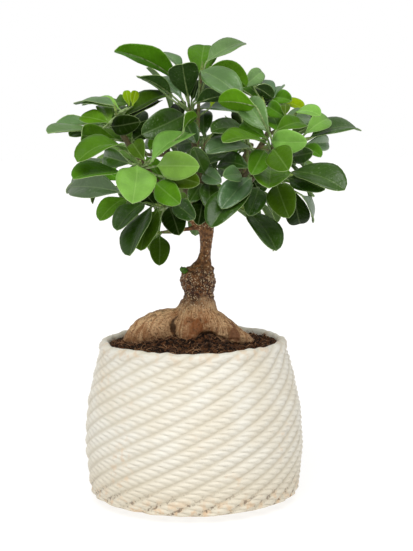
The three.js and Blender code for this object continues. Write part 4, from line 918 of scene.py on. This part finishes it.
def bark_material(settings):
    """Living ficus wood. The swollen roots have a thin tan skin with fibres along them and fine
    cracks across, orange where it is fresh and brown where it broke, darker low down, and with
    painted shade in the creases between them. The graft collar has a dark, slightly glossy crust
    with pale breathing pores and pale painted glints, the neck plain bark with fewer pores, and
    both have painted shade in their hollows."""
    noises = ((7, 3), (13, 4), (1, 3), (1.5, 4), (1.9, 5))
    made = new_material("Thin tan root skin and dark graft bark", noises)
    material, tree, place, ragged, patches, grain, specks, crust = made
    height = add_node(tree, "SeparateXYZ", {0: place}, "Z")
    hollow, scar, fresh = [
        add_node(tree, "Attribute", {}, "Fac", attribute_name=key)
        for key in ("hollow", "scar", "fresh")
    ]
    pores = add_node(tree, "TexVoronoi", {"Vector": place, "Scale": size(2)}, "Distance")
    along = add_node(tree, "Attribute", {}, "Vector", attribute_name="fibre_mm")
    across = add_node(tree, "Mapping", {"Vector": along, "Scale": (0.5, 0.5, 8)})
    fibres = add_node(tree, "TexNoise", {"Vector": along, "Scale": 1.1, "Detail": 4})
    cracks = add_node(tree, "TexNoise", {"Vector": across, "Scale": 0.42, "Detail": 3})
    level = {0: ragged, 1: 0.014, 2: height}
    level = add_node(tree, "Math", level, operation="MULTIPLY_ADD")
    roots = painted(tree, settings.root_dark, [
        (settings.root_light, (fibres, 0.34, 0.62)),
        (settings.root_brown, (patches, 0.42, 0.62, 0.35)),
        (linear("#8A5E3A"), (grain, 0.46, 0.6, 0.5)),
        (settings.root_orange, fresh, (fibres, 0.3, 0.6, 1, 0.6)),
        (settings.root_crack, (cracks, 0.6, 0.68, 0.45)),
        (settings.root_crack, (specks, 0.58, 0.66, 0.8)),
        (settings.scar_colour, (scar, 0.3, 0.6, 0.8)),
        # Painted shade in the creases between the roots and under them.
        (linear("#2A190C"), (hollow, 0.78, 1, 0.85)),
        # The root skin darker towards the bottom.
        (linear("#6E4A2C"), (height, 0.13, 0.112, 0.4)),
    ])
    neck = painted(tree, settings.neck_dark, [(settings.neck_light, (crust, 0.42, 0.58))])
    bark = painted(tree, settings.collar_dark, [
        (settings.collar_light, (crust, 0.42, 0.58)),
        (neck, (level, 0.158, 0.168)),
        # Painted shade in the hollows of the collar's and the neck's bark.
        (linear("#2B1B10"), (hollow, 0.55, 0.95, 0.6)),
    ])
    pores = mask(tree, (pores, 0.32, 0.2, 0.85), (ragged, 0.4, 0.54))
    # Pale flecks on the collar: painted glints, mixed in with the breathing pores.
    flecks = mask(tree, (grain, 0.57, 0.65, 0.9), (level, 0.17, 0.16))
    pores = mask(tree, pores, flecks, operation="MAXIMUM")
    colour = painted(tree, roots, [
        (bark, (level, 0.136, 0.149)),
        (settings.pore_and_glint_colour, pores, (level, 0.134, 0.14)),
        (settings.twig_colour, (height, 0.192, 0.21, 0.85)),
        (linear("#3A2415"), (height, 0.1125, 0.106, 0.6)),
    ])
    bump = add_node(tree, "Bump", {"Height": fibres, "Distance": 0.5 * MM})
    bump = add_node(tree, "Bump", {"Height": crust, "Distance": 1.1 * MM, "Normal": bump})
    roughness = mask(tree, (level, 0.136, 0.149, 0.45, 0.66))
    feeds = {"Normal": bump, "Specular IOR Level": 0.28}
    return finished(material, colour, roughness, feeds)


# Soil


def soil_top(x, y):
    radius = math.hypot(x, y)
    top = SOIL_WALL_Z + SOIL_MOUND * (1 - smooth_step(MOUND_INNER, MOUND_OUTER, radius))
    top -= SOIL_TILT * max(0, y)
    for heap_x, heap_y, reach, rise in HEAPS:
        top += rise * math.exp(-((x - heap_x) ** 2 + (y - heap_y) ** 2) / reach**2)
    clods = (0.45 - noise.voronoi((x * CLOD_WAVES, y * CLOD_WAVES, 1.7))[0][0]) * CLOD_HEIGHT
    lumps = clods + uneven((x, y, 0), SOIL_LUMPS)
    return top + lumps * lerp(1, EDGE_LUMPS, smooth_step(*SOIL_EDGE, radius))


def build_soil(settings):
    bm = bmesh.new()
    bottom, wall = FLOOR + SOIL_CLEAR, MOUTH_RADIUS - SOIL_CLEAR
    profile = [(0, bottom), (30, bottom)]
    profile += [(cavity_radius(z) - 2 * SOIL_CLEAR, z) for z in (bottom, *SOIL_ROWS)]
    profile.append((wall, SOIL_WALL_Z - 3))
    profile += [(wall * (1 - i / SOIL_RINGS), SOIL_WALL_Z) for i in range(SOIL_RINGS + 1)]
    turn_round(bm, [bm.verts.new((0, -r, z)) for r, z in profile], SOIL_COLUMNS)
    for vert in bm.verts:
        if vert.co.z > SOIL_WALL_Z - 0.1:
            vert.co.z = soil_top(vert.co.x, vert.co.y)
    soil = make_piece("peat_soil", bm, [peat_material(settings)])
    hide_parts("soil")


def on_soil(number):
    """A repeatable place on the soil, clear of the pot's wall."""
    radius = CRUMB_REACH * math.sqrt(draw(number * 3.1 + 7))
    angle = math.tau * draw(number * 5.7 + 2)
    x, y = radius * math.cos(angle), radius * math.sin(angle)
    return Vector((x, y, soil_top(x, y)))


def build_crumbs(settings):
    """Loose crumbs of peat."""
    bm = bmesh.new()
    for i in range(settings.crumbs):
        radius = lerp(*CRUMB_RADIUS, draw(i + 0.4) ** 2)
        place = Matrix.Translation(on_soil(i) + UP * radius * 0.2)
        turn = Quaternion((draw(i), draw(i + 1), draw(i + 2)), draw(i + 3) * 6).to_matrix()
        squash = Matrix.Diagonal((1, lerp(CRUMB_FLATNESS, 1, draw(i + 4)), CRUMB_FLATNESS, 1))
        lump = {"matrix": place @ turn.to_4x4() @ squash}
        bmesh.ops.create_icosphere(bm, subdivisions=1, radius=radius, **lump)
    crumbs = make_piece("peat_crumbs", bm, [peat_material(settings)])


def build_rootlets(settings):
    """Dead rootlets and peat fibres that lie on the soil and arch out of it."""
    bm = bmesh.new()
    for i in range(settings.rootlets):
        place = on_soil(i + 900)
        heading = math.tau * draw(i * 1.9 + 11)
        step = lerp(*ROOTLET_LENGTH, draw(i * 2.3 + 5)) / 4
        arch = lerp(*ROOTLET_ARCH, draw(i + 31) ** 2)
        points = []
        for k in range(5):
            points.append((place.x, place.y, soil_top(place.x, place.y) + arch * (k % 4 > 0)))
            heading += (draw(i * 7 + k) - 0.5) * ROOTLET_BEND
            place += Vector((math.cos(heading), math.sin(heading), 0)) * step
            reach = math.hypot(place.x, place.y)
            if reach > ROOTLET_REACH:
                place *= ROOTLET_REACH / reach
        thick = lerp(*ROOTLET_RADIUS, draw(i + 77) ** 2)
        add_limb(bm, points, [thick, thick * 0.9, thick * 0.5], 8, 4)
    rootlets = make_piece("peat_rootlets", bm, [rootlet_material(settings)])


def peat_material(settings):
    """Moist crumbled peat: near black where it is wet and deep, dull brown on the dry crumbs."""
    noises = ((3, 5), (1.1, 2))
    material, tree, _, lumps, bits = new_material("Moist crumbled peat", noises)
    colour = painted(tree, settings.wet_colour, [
        (settings.dry_colour, (lumps, 0.44, 0.6)),
        (linear("#8A6448"), (bits, 0.62, 0.7, 0.75)),
    ])
    bump = add_node(tree, "Bump", {"Height": bits, "Distance": 0.9 * MM})
    return finished(material, colour, 0.92, {"Normal": bump, "Specular IOR Level": 0.2})


def rootlet_material(settings):
    """Dry plant fibre: a dull reddish tan, darker along part of its length."""
    material, tree, _, lumps = new_material("Dry peat fibre", [(8, 2)])
    colour = painted(tree, linear("#3A2416"), [(settings.fibre_colour, (lumps, 0.42, 0.62))])
    return finished(material, colour, 0.8, {})


# Leafy shoots


def seen(x, z, y):
    """The point at depth y that lines up with (x, z) from the front viewpoint."""
    scale = (y - EYE.y) / -EYE.y
    return Vector((EYE.x + (x - EYE.x) * scale, y, EYE.z + (z - EYE.z) * scale))


def outline(s, fullness=OUTLINE_FULLNESS):
    """The share of its width that a blade has at a share of its length."""
    return max(0.0, math.sin(math.pi * s**OUTLINE_SHIFT)) ** fullness


def normal_for_view(axis, middle, shown):
    """The upper normal that shows that share of a blade's width to the front viewpoint."""
    level = UP - axis * UP.dot(axis)
    if level.length_squared < 1e-4:
        level = Vector((0, -1, 0)) + axis * axis.y
    level.normalize()
    across = axis.cross(level)
    view = (EYE - middle).normalized()
    a, b = level.dot(view), across.dot(view)
    lean = math.atan2(b, a)
    swing = math.acos(clamp(shown / max(math.hypot(a, b), 1e-6), -1, 1))
    turns = [math.atan2(math.sin(t), math.cos(t)) for t in (lean + swing, lean - swing)]
    turn = min(turns, key=abs)
    return (level * math.cos(turn) + across * math.sin(turn)).normalized()


class Blade:
    """A place of a leaf's blade: its own directions and its curved middle line."""

    def __init__(self, foot, base, tip, normal, arch, width, stations, tone, turned=False):
        self.foot, self.base, self.normal, self.arch = foot, base, normal, arch
        self.width, self.stations, self.tone, self.turned = width, stations, tone, turned
        self.length = (tip - base).length
        self.axis = (tip - base).normalized()
        self.side = self.axis.cross(normal).normalized()

    def spine(self, s):
        bow = self.arch * 4 * s * (1 - s)
        return self.base + self.axis * (s * self.length) + self.normal * bow

    def up(self, s):
        rise = self.arch * 4 * (1 - 2 * s) / self.length
        return (self.normal - self.axis * rise).normalized()

    def misfit(self, tree):
        """How far the corners of its solid lie from the nearest packed vertices, on average."""
        half = BLADE_THICKNESS / 2
        corners = [self.spine(1) + self.up(1) * h for h in (-half, half)]
        for s in self.stations:
            reach = self.width / 2 * outline(s)
            raised = self.spine(s) + self.up(s) * math.sin(BLADE_FOLD) * reach
            for spread in (-reach, reach):
                margin = raised + self.side * math.cos(BLADE_FOLD) * spread
                corners += [margin + self.up(s) * h for h in (-half, half)]
        return sum(tree.find(corner)[2] for corner in corners) / len(corners)


def seen_blades(depth, points, leaves):
    """The places that each leaf laid out from the front may have taken."""
    stem = Line(points)
    for index, (tone, base_x, base_z, tip_x, tip_z, width, *rest) in enumerate(leaves):
        arch, reach, given = (*rest, *USUAL_REST[len(rest) :])
        foot = stem.at(lerp(STEM_TOP, STEM_LOW, index / len(leaves)))
        across = math.hypot(tip_x - base_x, tip_z - base_z)
        fitting = clamp(across * TURNED_AWAY + TURNED_EXTRA, SHORTEST_BLADE, LONGEST_BLADE)
        length = given or max(across * BARELY_MORE, abs(width) * 2, fitting)
        full = max(abs(width) * BARELY_MORE, length * BLADE_RATIO)
        away = reach or math.copysign(1, width) * math.copysign(1, tip_z - base_z)
        away *= math.sqrt(max(0, length * length - across * across))
        stations = FEWER_STATIONS if abs(width) < NARROW_VIEW else STATIONS
        places = []
        for base_move in BASE_MOVES:
            base_y = depth + away * BASE_LAG + base_move
            base = seen(base_x, base_z, base_y)
            for tip_move in TIP_MOVES:
                tip = seen(tip_x, tip_z, base_y + away + tip_move)
                axis = (tip - base).normalized()
                normal = normal_for_view(axis, (base + tip) / 2, width / full)
                form = (arch, full, stations, tone, width < 0)
                places.append(Blade(foot, base, tip, normal, *form))
        yield places


def spiral_blades(seed, count, points):
    """The places that each leaf of a shoot at the back may have taken."""
    stem = Line(points)
    for index in range(count):
        share = lerp(STEM_TOP, STEM_LOW, index / count)
        foot, heading = stem.at(share), stem.heading(share)
        first = heading.cross(SPIRAL_ASKEW).normalized()
        second = heading.cross(first)
        length = lerp(*SPIRAL_LENGTH, draw(seed + index * 7))
        tone = BACK_TONES[(seed + index) % len(BACK_TONES)]
        form = (length * SPIRAL_ARCH, length * BLADE_RATIO, FEWER_STATIONS, tone)
        places = []
        for lift in LIFTS:
            for swing in SWINGS:
                turn = seed + index * GOLDEN_ANGLE + swing
                spread = lerp(*SPIRAL_OPEN, index / count) + lift
                round_stem = first * math.cos(turn) + second * math.sin(turn)
                direction = heading * math.cos(spread) + round_stem * math.sin(spread)
                direction = (direction - UP * SPIRAL_DROOP).normalized()
                base = foot + direction * SPIRAL_STALK
                axis = (direction - UP * BLADE_DROOP).normalized()
                upper = UP + heading
                normal = (upper - axis * upper.dot(axis)).normalized()
                places.append(Blade(foot, base, base + axis * length, normal, *form))
        yield places


def blade_point(blade, u, s, lift, mood):
    """A point of the blade: u runs from margin to margin, s from base to tip."""
    fullness = OUTLINE_FULLNESS + BASE_WEDGE * max(0.0, 1 - s / WEDGE_END)
    fullness -= TIP_BLUNTNESS * smooth_step(*TIP_START, s)
    half = max(blade.width / 2 * outline(s, fullness), lerp(0.6, 0.3, s))
    fold = math.sqrt(u * u + FOLD_ROUNDING) - math.sqrt(FOLD_ROUNDING)
    camber = CAMBER * (1 - (2 * abs(u) - 1) ** 2)
    wave = MARGIN_WAVE * u * u * math.sin(s * mood["waves"] + mood["start"] + (u > 0) * 2)
    curl = blade.length * mood["curl"] * smooth_step(0.7, 1, s) * (1 - s * 0.3)
    sway = blade.length * mood["sway"] * math.sin(math.pi * s)
    raised = half * (FOLD_MORE * math.sin(BLADE_FOLD) * fold + camber + wave) + lift - curl
    spread = half * math.cos(BLADE_FOLD) * u + sway
    return blade.spine(s) + blade.side * spread + blade.up(s) * raised, half


def add_blade(bm, layers, blade, number, mood, settings):
    tones = leaf_tones(blade, number, settings)
    rims = set()
    for material, lift in ((UPPER, LEAF_HALF), (UNDER, -LEAF_HALF)):
        sheet = bmesh.ops.create_grid(bm, x_segments=BLADE_COLUMNS, y_segments=BLADE_ROWS, size=1)
        for vert in sheet["verts"]:
            u = vert.co.x
            t = (vert.co.y + 1) / 2
            s = lerp(t, (1 - math.cos(math.pi * t)) / 2, 0.7)
            thin = lift * (1 - 0.35 * u**4)
            vert.co, half = blade_point(blade, u, s, thin, mood)
            vert[layers["across_mm"]] = half * u
            vert[layers["along_mm"]] = s * blade.length
            vert[layers["rim_mm"]] = min(half * (1 - abs(u)), (1 - s) * blade.length)
            vert[layers["wax"]] = TONES[blade.tone][1]
            vert[layers["leaf_tone"]] = tones[material]
            rims.update(edge for edge in vert.link_edges if edge.is_boundary)
            for face in vert.link_faces:
                face.material_index = material
    for face in bmesh.ops.bridge_loops(bm, edges=list(rims))["faces"]:
        face.material_index = CUT_EDGE


def add_stalk(bm, blade, mood):
    """The leaf stalk, which runs on under the blade as its raised midrib."""
    start, end = blade.foot, blade.base
    reach = (end - start).length
    outward = (end - start).normalized() * 1.2
    middle = start.lerp(end, 0.5) - UP * 0.024 * reach
    under = -LEAF_HALF - 0.1
    ribs = [blade_point(blade, 0, s, under, mood)[0] for s in RIB_SHARES]
    points = [start - outward, middle, end - blade.up(0) * 0.35, *ribs]
    add_limb(bm, points, STALK_RADII, 22, 6, STALK)


def build_shoot(name, points, choices, materials, settings):
    """A shoot's stem and closed bud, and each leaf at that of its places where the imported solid
    has one. Where the solid has none, the leaf was left out."""
    bm = bmesh.new()
    keys = ("across_mm", "along_mm", "rim_mm", "wax")
    layers = {key: bm.verts.layers.float.new(key) for key in keys}
    layers["leaf_tone"] = bm.verts.layers.float_color.new("leaf_tone")
    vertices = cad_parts["shoot_" + name].data.vertices
    tree = kdtree.KDTree(len(vertices))
    for i, vertex in enumerate(vertices):
        tree.insert(vertex.co / MM, i)
    tree.balance()
    for index, places in enumerate(choices):
        blade = min(places, key=lambda place: place.misfit(tree))
        if blade.misfit(tree) < MATCH_WITHIN:
            number = sum(ord(letter) for letter in name) + index * 3.7
            mood = {
                key: lerp(low, high, draw(number + shift))
                for key, (low, high, shift) in MOODS.items()
            }
            add_blade(bm, layers, blade, number, mood, settings)
            add_stalk(bm, blade, mood)
    stem = add_limb(bm, points, STEM_RADII, 12, 8, BARK)
    tip, heading = stem.at(1), stem.heading(1)
    add_limb(bm, [tip + heading * far for far in (-1, 2, 5, 8)], BUD_RADII, 8, 8, SCALE)
    piece = make_piece("leaves_" + name, bm, materials)
    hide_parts("shoot_" + name)


def leaf_tones(blade, number, settings):
    """The upper and the lower side's colour: a little different from leaf to leaf. The tone in
    the lists is that of the side seen from the front."""
    red, green, blue, _ = getattr(settings, TONES[blade.tone][0])
    bright = lerp(*BRIGHTNESS, draw(number + 5))
    warm = lerp(*WARMTH, draw(number + 8))
    shown = [red * bright * warm, green * bright, blue * bright / warm, 1]
    if blade.turned:
        return mixed(shown, settings.dark_green, 0.5), shown
    return shown, mixed(shown, settings.underside, 0.45)


def cuticle_material(settings):
    """The upper side of a ficus leaf: a leathery cuticle whose wax mirrors the light softly, more
    on old leaves, with a paler sunken midrib, faint side veins and a thin pale margin."""
    return leaf_material("Waxed upper leaf cuticle", settings, 0.3, 1.0, 0.3, 0.2)


def underside_material(settings):
    """The lower side of a ficus leaf: the same blade with hardly any wax, paler and duller."""
    return leaf_material("Matt leaf underside", settings, 0.55, 0.5, 0.35, -0.2)


def leaf_material(name, settings, roughness, waxed, paleness, groove):
    noises = ((16, 3), (1.6, 3), (7, 4))
    material, tree, _, clouds, flecks, waves = new_material(name, noises)
    tone = add_node(tree, "Attribute", {}, "Color", attribute_name="leaf_tone")
    wax, across, along, rim = [
        add_node(tree, "Attribute", {}, "Fac", attribute_name=key)
        for key in ("wax", "across_mm", "along_mm", "rim_mm")
    ]
    across = add_node(tree, "Math", {0: across}, operation="ABSOLUTE")
    slant = add_node(tree, "Math", {0: across, 1: -0.8, 2: along}, operation="MULTIPLY_ADD")
    wobble = add_node(tree, "Math", {0: clouds, 1: 3.0, 2: slant}, operation="MULTIPLY_ADD")
    vein = add_node(tree, "Math", {0: wobble, 1: VEIN_STEP / 2}, operation="PINGPONG")
    vein = mask(tree, (vein, 0.45, 0.1), (rim, 0.6, 1.6, 0.13))
    veins = mask(tree, (across, 0.65, 0.2, 0.7), vein, operation="MAXIMUM")
    pale = mask(tree, veins, (rim, 0.6, 0.2), operation="MAXIMUM")
    cloudy = {0: 1.0, 6: tone, 7: mask(tree, (clouds, 0.3, 0.7, 1.16, 0.84))}
    colour = add_node(tree, "Mix", cloudy, data_type="RGBA", blend_type="MULTIPLY")
    lit = add_node(tree, "VectorMath", {0: colour, "Scale": 2.2}, operation="SCALE")
    lit = painted(tree, lit, [(settings.vein_colour, 0.5)])
    dusty = [(flecks, 0.58, 0.7, 0.45), (clouds, 0.46, 0.6), (wax, 0.1, 0.5, 1, 0.15)]
    colour = painted(tree, colour, [(lit, pale, paleness), (linear("#8E9F7A"), *dusty)])
    bump = {"Height": veins, "Distance": abs(groove) * MM}
    bump = add_node(tree, "Bump", bump, invert=groove > 0)
    bump = add_node(tree, "Bump", {"Height": waves, "Distance": 0.9 * MM, "Normal": bump})
    feeds = {"Normal": bump, "IOR": LEAF_IOR, "Specular IOR Level": mask(tree, wax, waxed)}
    return finished(material, colour, roughness, feeds)


def edge_material(settings):
    """The cut thickness of a leaf: pale, dry and a little clear."""
    material, tree, _, clouds = new_material("Pale leaf edge", [(4, 2)])
    colour = painted(tree, settings.vein_colour, [(linear("#6F8A4A"), clouds)])
    return finished(material, colour, 0.5, {"IOR": LEAF_IOR})


def green_material(name, first, second, roughness, lumps):
    material, tree, _, clouds = new_material(name, [(lumps, 4)])
    colour = painted(tree, first, [(second, (clouds, 0.35, 0.65))])
    bump = add_node(tree, "Bump", {"Height": clouds, "Distance": 0.2 * MM})
    return finished(material, colour, roughness, {"IOR": LEAF_IOR, "Normal": bump})


def stalk_material(settings):
    """A leaf stalk: smooth skin, yellow green and lighter than the blade."""
    pale = mixed(settings.stalk_colour, settings.vein_colour, 0.5)
    return green_material("Smooth leaf stalk", settings.stalk_colour, pale, 0.45, 3)


def young_bark_material(settings):
    """A young stem: green skin that is turning to thin brown bark."""
    return green_material("Young stem bark", settings.stem_green, settings.stem_brown, 0.6, 2.2)


def bud_material(settings):
    """A leaf bud: closed scales, fresh light green."""
    return green_material("Green bud scale", settings.bud_colour, settings.stem_green, 0.4, 2)


# What a user may change


def colour_setting(name, description, hex_colour):
    shown = {"name": name, "description": description, "subtype": "COLOR", "size": 4}
    return bpy.props.FloatVectorProperty(**shown, min=0, max=1, default=linear(hex_colour))


def length_setting(name, description, millimetres):
    shown = {"name": name, "description": description, "unit": "LENGTH", "precision": 5}
    return bpy.props.FloatProperty(**shown, min=0, default=millimetres * MM)


def number_setting(name, description, number):
    return bpy.props.FloatProperty(name=name, description=description, default=number)


def count_setting(name, description, count):
    return bpy.props.IntProperty(name=name, description=description, default=count, min=0)


class BonsaiPotSettings(bpy.types.PropertyGroup):
    rope_relief: length_setting("Rope relief", "Depth of the grooves between the ropes", 1.42)
    strand_relief: length_setting("Strand relief", "Depth of the furrows between strands", 0.78)
    strand_wrap: number_setting("Strand wrap", "How far strands curl at a rope's edges", 0.28)
    glaze_colour: colour_setting("Glaze", "Main colour of the glaze", "#E8E4D8")
    # Thicker glaze in patches, and painted shade low down on the pot.
    thick_glaze_and_low_shade: colour_setting("Glaze shade", "Glaze where it is thicker", "#DFD6C2")
    # Glaze pooled in the furrows, and painted shade in them.
    pooled_glaze_and_furrow_shade: colour_setting("Furrows", "Glaze that pooled in the furrows", "#B5A98F")
    stain_colour: colour_setting("Stain", "Warm clay that shows through", "#D9B78F")


class BonsaiTrunkSettings(bpy.types.PropertyGroup):
    skin_step: length_setting("Skin step", "Size of the faces of the grown skin", 0.75)
    knob_height: length_setting("Knob height", "Height of the knobs on the collar", 0.9)
    root_light: colour_setting("Root light", "Ridges of the root skin", "#EDC595")
    root_dark: colour_setting("Root dark", "Between the ridges of the root skin", "#A67449")
    root_orange: colour_setting("Root orange", "Fresh patches of the root skin", "#8C5024")
    root_brown: colour_setting("Root brown", "Duller patches of the root skin", "#916A44")
    scar_colour: colour_setting("Scars", "Brown breaks in the root skin", "#7A4C32")
    root_crack: colour_setting("Root crack", "Fine cracks across the roots", "#4E351E")
    collar_light: colour_setting("Collar light", "Crust of the graft collar", "#764C2B")
    collar_dark: colour_setting("Collar dark", "Crust of the graft collar", "#3C200F")
    # Breathing pores on the collar, and the painted glints among them.
    pore_and_glint_colour: colour_setting("Pores", "Breathing pores on the collar", "#D2B993")
    neck_light: colour_setting("Neck light", "Bark of the neck", "#8E623A")
    neck_dark: colour_setting("Neck dark", "Bark of the neck", "#5E3C20")
    twig_colour: colour_setting("Branches", "Younger bark in the crown", "#46462A")


class BonsaiSoilSettings(bpy.types.PropertyGroup):
    crumbs: count_setting("Crumbs", "Loose crumbs on the soil", 900)
    rootlets: count_setting("Rootlets", "Fibres and dead rootlets on the soil", 420)
    wet_colour: colour_setting("Wet peat", "Deep between the crumbs", "#190D06")
    dry_colour: colour_setting("Dry peat", "On top of the crumbs", "#5A3820")
    fibre_colour: colour_setting("Fibre", "Dry fibres and rootlets", "#AE825C")


class BonsaiLeafSettings(bpy.types.PropertyGroup):
    # Painted light: this yellow green stands for young leaves lit through and in full light.
    lit_yellow_green: colour_setting("Yellow green", "Youngest leaves in full light", "#7E9C0A")
    light_green: colour_setting("Light green", "Young leaves", "#76A442")
    bright_green: colour_setting("Bright green", "Saturated leaves", "#568A14")
    mid_green: colour_setting("Mid green", "Grown leaves", "#4A7512")
    dark_green: colour_setting("Dark green", "Old leaves", "#2D4D0B")
    # The grey of this green is a painted sheen, over the real reflection of the wax.
    sheen_grey_green: colour_setting("Grey green", "Old leaves with a dull wax", "#4C6B3E")
    pale_green: colour_setting("Pale green", "Leaves seen through their own shine", "#5E8145")
    olive_green: colour_setting("Olive green", "Old leaves in the shade", "#3F5A0C")
    # Painted shade: the darkest green stands for old leaves in the crown's shade.
    shaded_deep_green: colour_setting("Deep green", "Old leaves deep in the crown", "#162803")
    underside: colour_setting("Underside", "Lower side of the blades", "#6F8C4A")
    vein_colour: colour_setting("Veins", "Midribs, side veins and margins", "#B4C98A")
    stalk_colour: colour_setting("Stalks", "Leaf stalks", "#56702E")
    stem_green: colour_setting("Stem green", "Skin of the youngest stems", "#6A7F3C")
    stem_brown: colour_setting("Stem brown", "Thin bark of older stems", "#6A553A")
    bud_colour: colour_setting("Buds", "Closed leaf buds", "#9DB85C")


class BonsaiStageSettings(bpy.types.PropertyGroup):
    floor_colour: colour_setting("Floor", "Plain studio floor", "#949391")
    floor_glow: number_setting("Floor glow", "Light that comes up through the floor", 0.75)
    surround_strength: number_setting("Surroundings", "Strength of the light from all round", 0.54)
    key_strength: number_setting("Key light", "Strength of the large soft light", 2.1)
    key_softness: bpy.props.FloatProperty(
        name="Key softness",
        description="How wide the soft light looks from the object",
        subtype="ANGLE",
        default=math.radians(50),
    )


# Stage


def build_floor(settings):
    bm = bmesh.new()
    bmesh.ops.create_grid(bm, x_segments=4, y_segments=4, size=FLOOR_REACH)
    mesh = bpy.data.meshes.new("studio_floor")
    bm.to_mesh(mesh)
    bm.free()
    floor = add_object("studio_floor", mesh)
    floor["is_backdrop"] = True
    material, _, _ = new_material("White acrylic sheet lit from below")
    glow = {"Emission Color": WHITE, "Emission Strength": settings.floor_glow}
    mesh.materials.append(finished(material, settings.floor_colour, 0.9, glow))


def build_light(settings):
    """One broad soft light from above, in front and a little to the left."""
    lamp = bpy.data.lights.new("soft_key", "SUN")
    lamp.angle = settings.key_softness
    lamp.energy = settings.key_strength
    light = add_object("soft_key", lamp)
    light.rotation_euler = Vector(KEY_FROM).to_track_quat("Z", "Y").to_euler()


def build_world(settings):
    """Plain white surroundings, which light the object less than they show."""
    world = bpy.data.worlds.new("Plain white surroundings")
    world.use_nodes = True
    tree = world.node_tree
    shown = add_node(tree, "LightPath", {}, "Is Camera Ray")
    strength = add_node(tree, "Mix", {0: shown, 2: settings.surround_strength, 3: 1.0})
    feed(tree, tree.nodes["Background"], {"Strength": strength, "Color": WHITE})
    bpy.context.scene.world = world
    bpy.context.scene.view_settings.view_transform = "Standard"


def build_camera():
    """The photograph's viewpoint."""
    lens = bpy.data.cameras.new("photo_view")
    lens.sensor_width = SENSOR
    lens.lens = FOCAL_LENGTH
    camera = add_object("photo_view", lens)
    pitch = Matrix.Rotation(math.radians(90 - CAMERA_DOWN), 4, "X")
    roll = Matrix.Rotation(math.radians(CAMERA_ROLL), 4, "Z")
    camera.matrix_world = Matrix.Translation(EYE * MM) @ pitch @ roll
    bpy.context.scene.camera = camera


# Operators and panel


class BONSAI_OT_stage(bpy.types.Operator):
    """Sets the plain floor, the soft light and the camera"""

    bl_idname = "bonsai.stage"
    bl_label = "Stage"

    def execute(self, context):
        build_camera()
        for build in (build_floor, build_world, build_light):
            build(context.scene.bonsai_stage)
        return {"FINISHED"}


class BONSAI_OT_pot(bpy.types.Operator):
    """Builds the round pot with its relief of laid ropes"""

    bl_idname = "bonsai.pot"
    bl_label = "Pot"

    def execute(self, context):
        build_pot(context.scene.bonsai_pot)
        return {"FINISHED"}


class BONSAI_OT_soil(bpy.types.Operator):
    """Builds the peat with its crumbs and rootlets"""

    bl_idname = "bonsai.soil"
    bl_label = "Soil"

    def execute(self, context):
        for build in (build_soil, build_crumbs, build_rootlets):
            build(context.scene.bonsai_soil)
        return {"FINISHED"}


class BONSAI_OT_trunk(bpy.types.Operator):
    """Builds the swollen roots, the graft collar, the neck and the branches"""

    bl_idname = "bonsai.trunk"
    bl_label = "Trunk and roots"

    def execute(self, context):
        build_trunk(context.scene.bonsai_trunk)
        build_collar_bud(context.scene.bonsai_leaves)
        return {"FINISHED"}


class BONSAI_OT_leaves(bpy.types.Operator):
    """Builds every leafy shoot where its solid is"""

    bl_idname = "bonsai.leaves"
    bl_label = "Leafy shoots"

    def execute(self, context):
        settings = context.scene.bonsai_leaves
        finishes = (cuticle_material, underside_material, edge_material)
        finishes += (stalk_material, young_bark_material, bud_material)
        materials = [finish(settings) for finish in finishes]
        for name, (depth, points, leaves) in SHOOTS.items():
            choices = seen_blades(depth, points, leaves)
            build_shoot(name, points, choices, materials, settings)
        for name, (seed, count, points) in BACK_SHOOTS.items():
            choices = spiral_blades(seed, count, points)
            build_shoot(name, points, choices, materials, settings)
        return {"FINISHED"}


class BONSAI_PT_panel(bpy.types.Panel):
    """The bonsai's pieces, with the sizes and colours they take"""

    bl_idname = "BONSAI_PT_panel"
    bl_label = "Ginseng ficus"
    bl_space_type = "VIEW_3D"
    bl_region_type = "UI"
    bl_category = "Bonsai"

    def draw(self, context):
        for operator, group, _ in STEPS:
            box = self.layout.box()
            box.operator(operator.bl_idname)
            settings = getattr(context.scene, group)
            for name in settings.__annotations__:
                box.prop(settings, name)


STEPS = [
    (BONSAI_OT_stage, "bonsai_stage", BonsaiStageSettings),
    (BONSAI_OT_pot, "bonsai_pot", BonsaiPotSettings),
    (BONSAI_OT_soil, "bonsai_soil", BonsaiSoilSettings),
    (BONSAI_OT_trunk, "bonsai_trunk", BonsaiTrunkSettings),
    (BONSAI_OT_leaves, "bonsai_leaves", BonsaiLeafSettings),
]


def register():
    for operator, group, settings in STEPS:
        bpy.utils.register_class(settings)
        setattr(bpy.types.Scene, group, bpy.props.PointerProperty(type=settings))
        bpy.utils.register_class(operator)
    bpy.utils.register_class(BONSAI_PT_panel)


def unregister():
    bpy.utils.unregister_class(BONSAI_PT_panel)
    for operator, group, settings in reversed(STEPS):
        bpy.utils.unregister_class(operator)
        delattr(bpy.types.Scene, group)
        bpy.utils.unregister_class(settings)


def main():
    register()
    bpy.ops.bonsai.stage()
    bpy.ops.bonsai.pot()
    bpy.ops.bonsai.soil()
    bpy.ops.bonsai.trunk()
    bpy.ops.bonsai.leaves()
    boxes = {"cad": CAD_BOX, "visual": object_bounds()}
    sizes = {name: [list(corner) for corner in box] for name, box in boxes.items()}


if __name__ == "__main__":
    main()
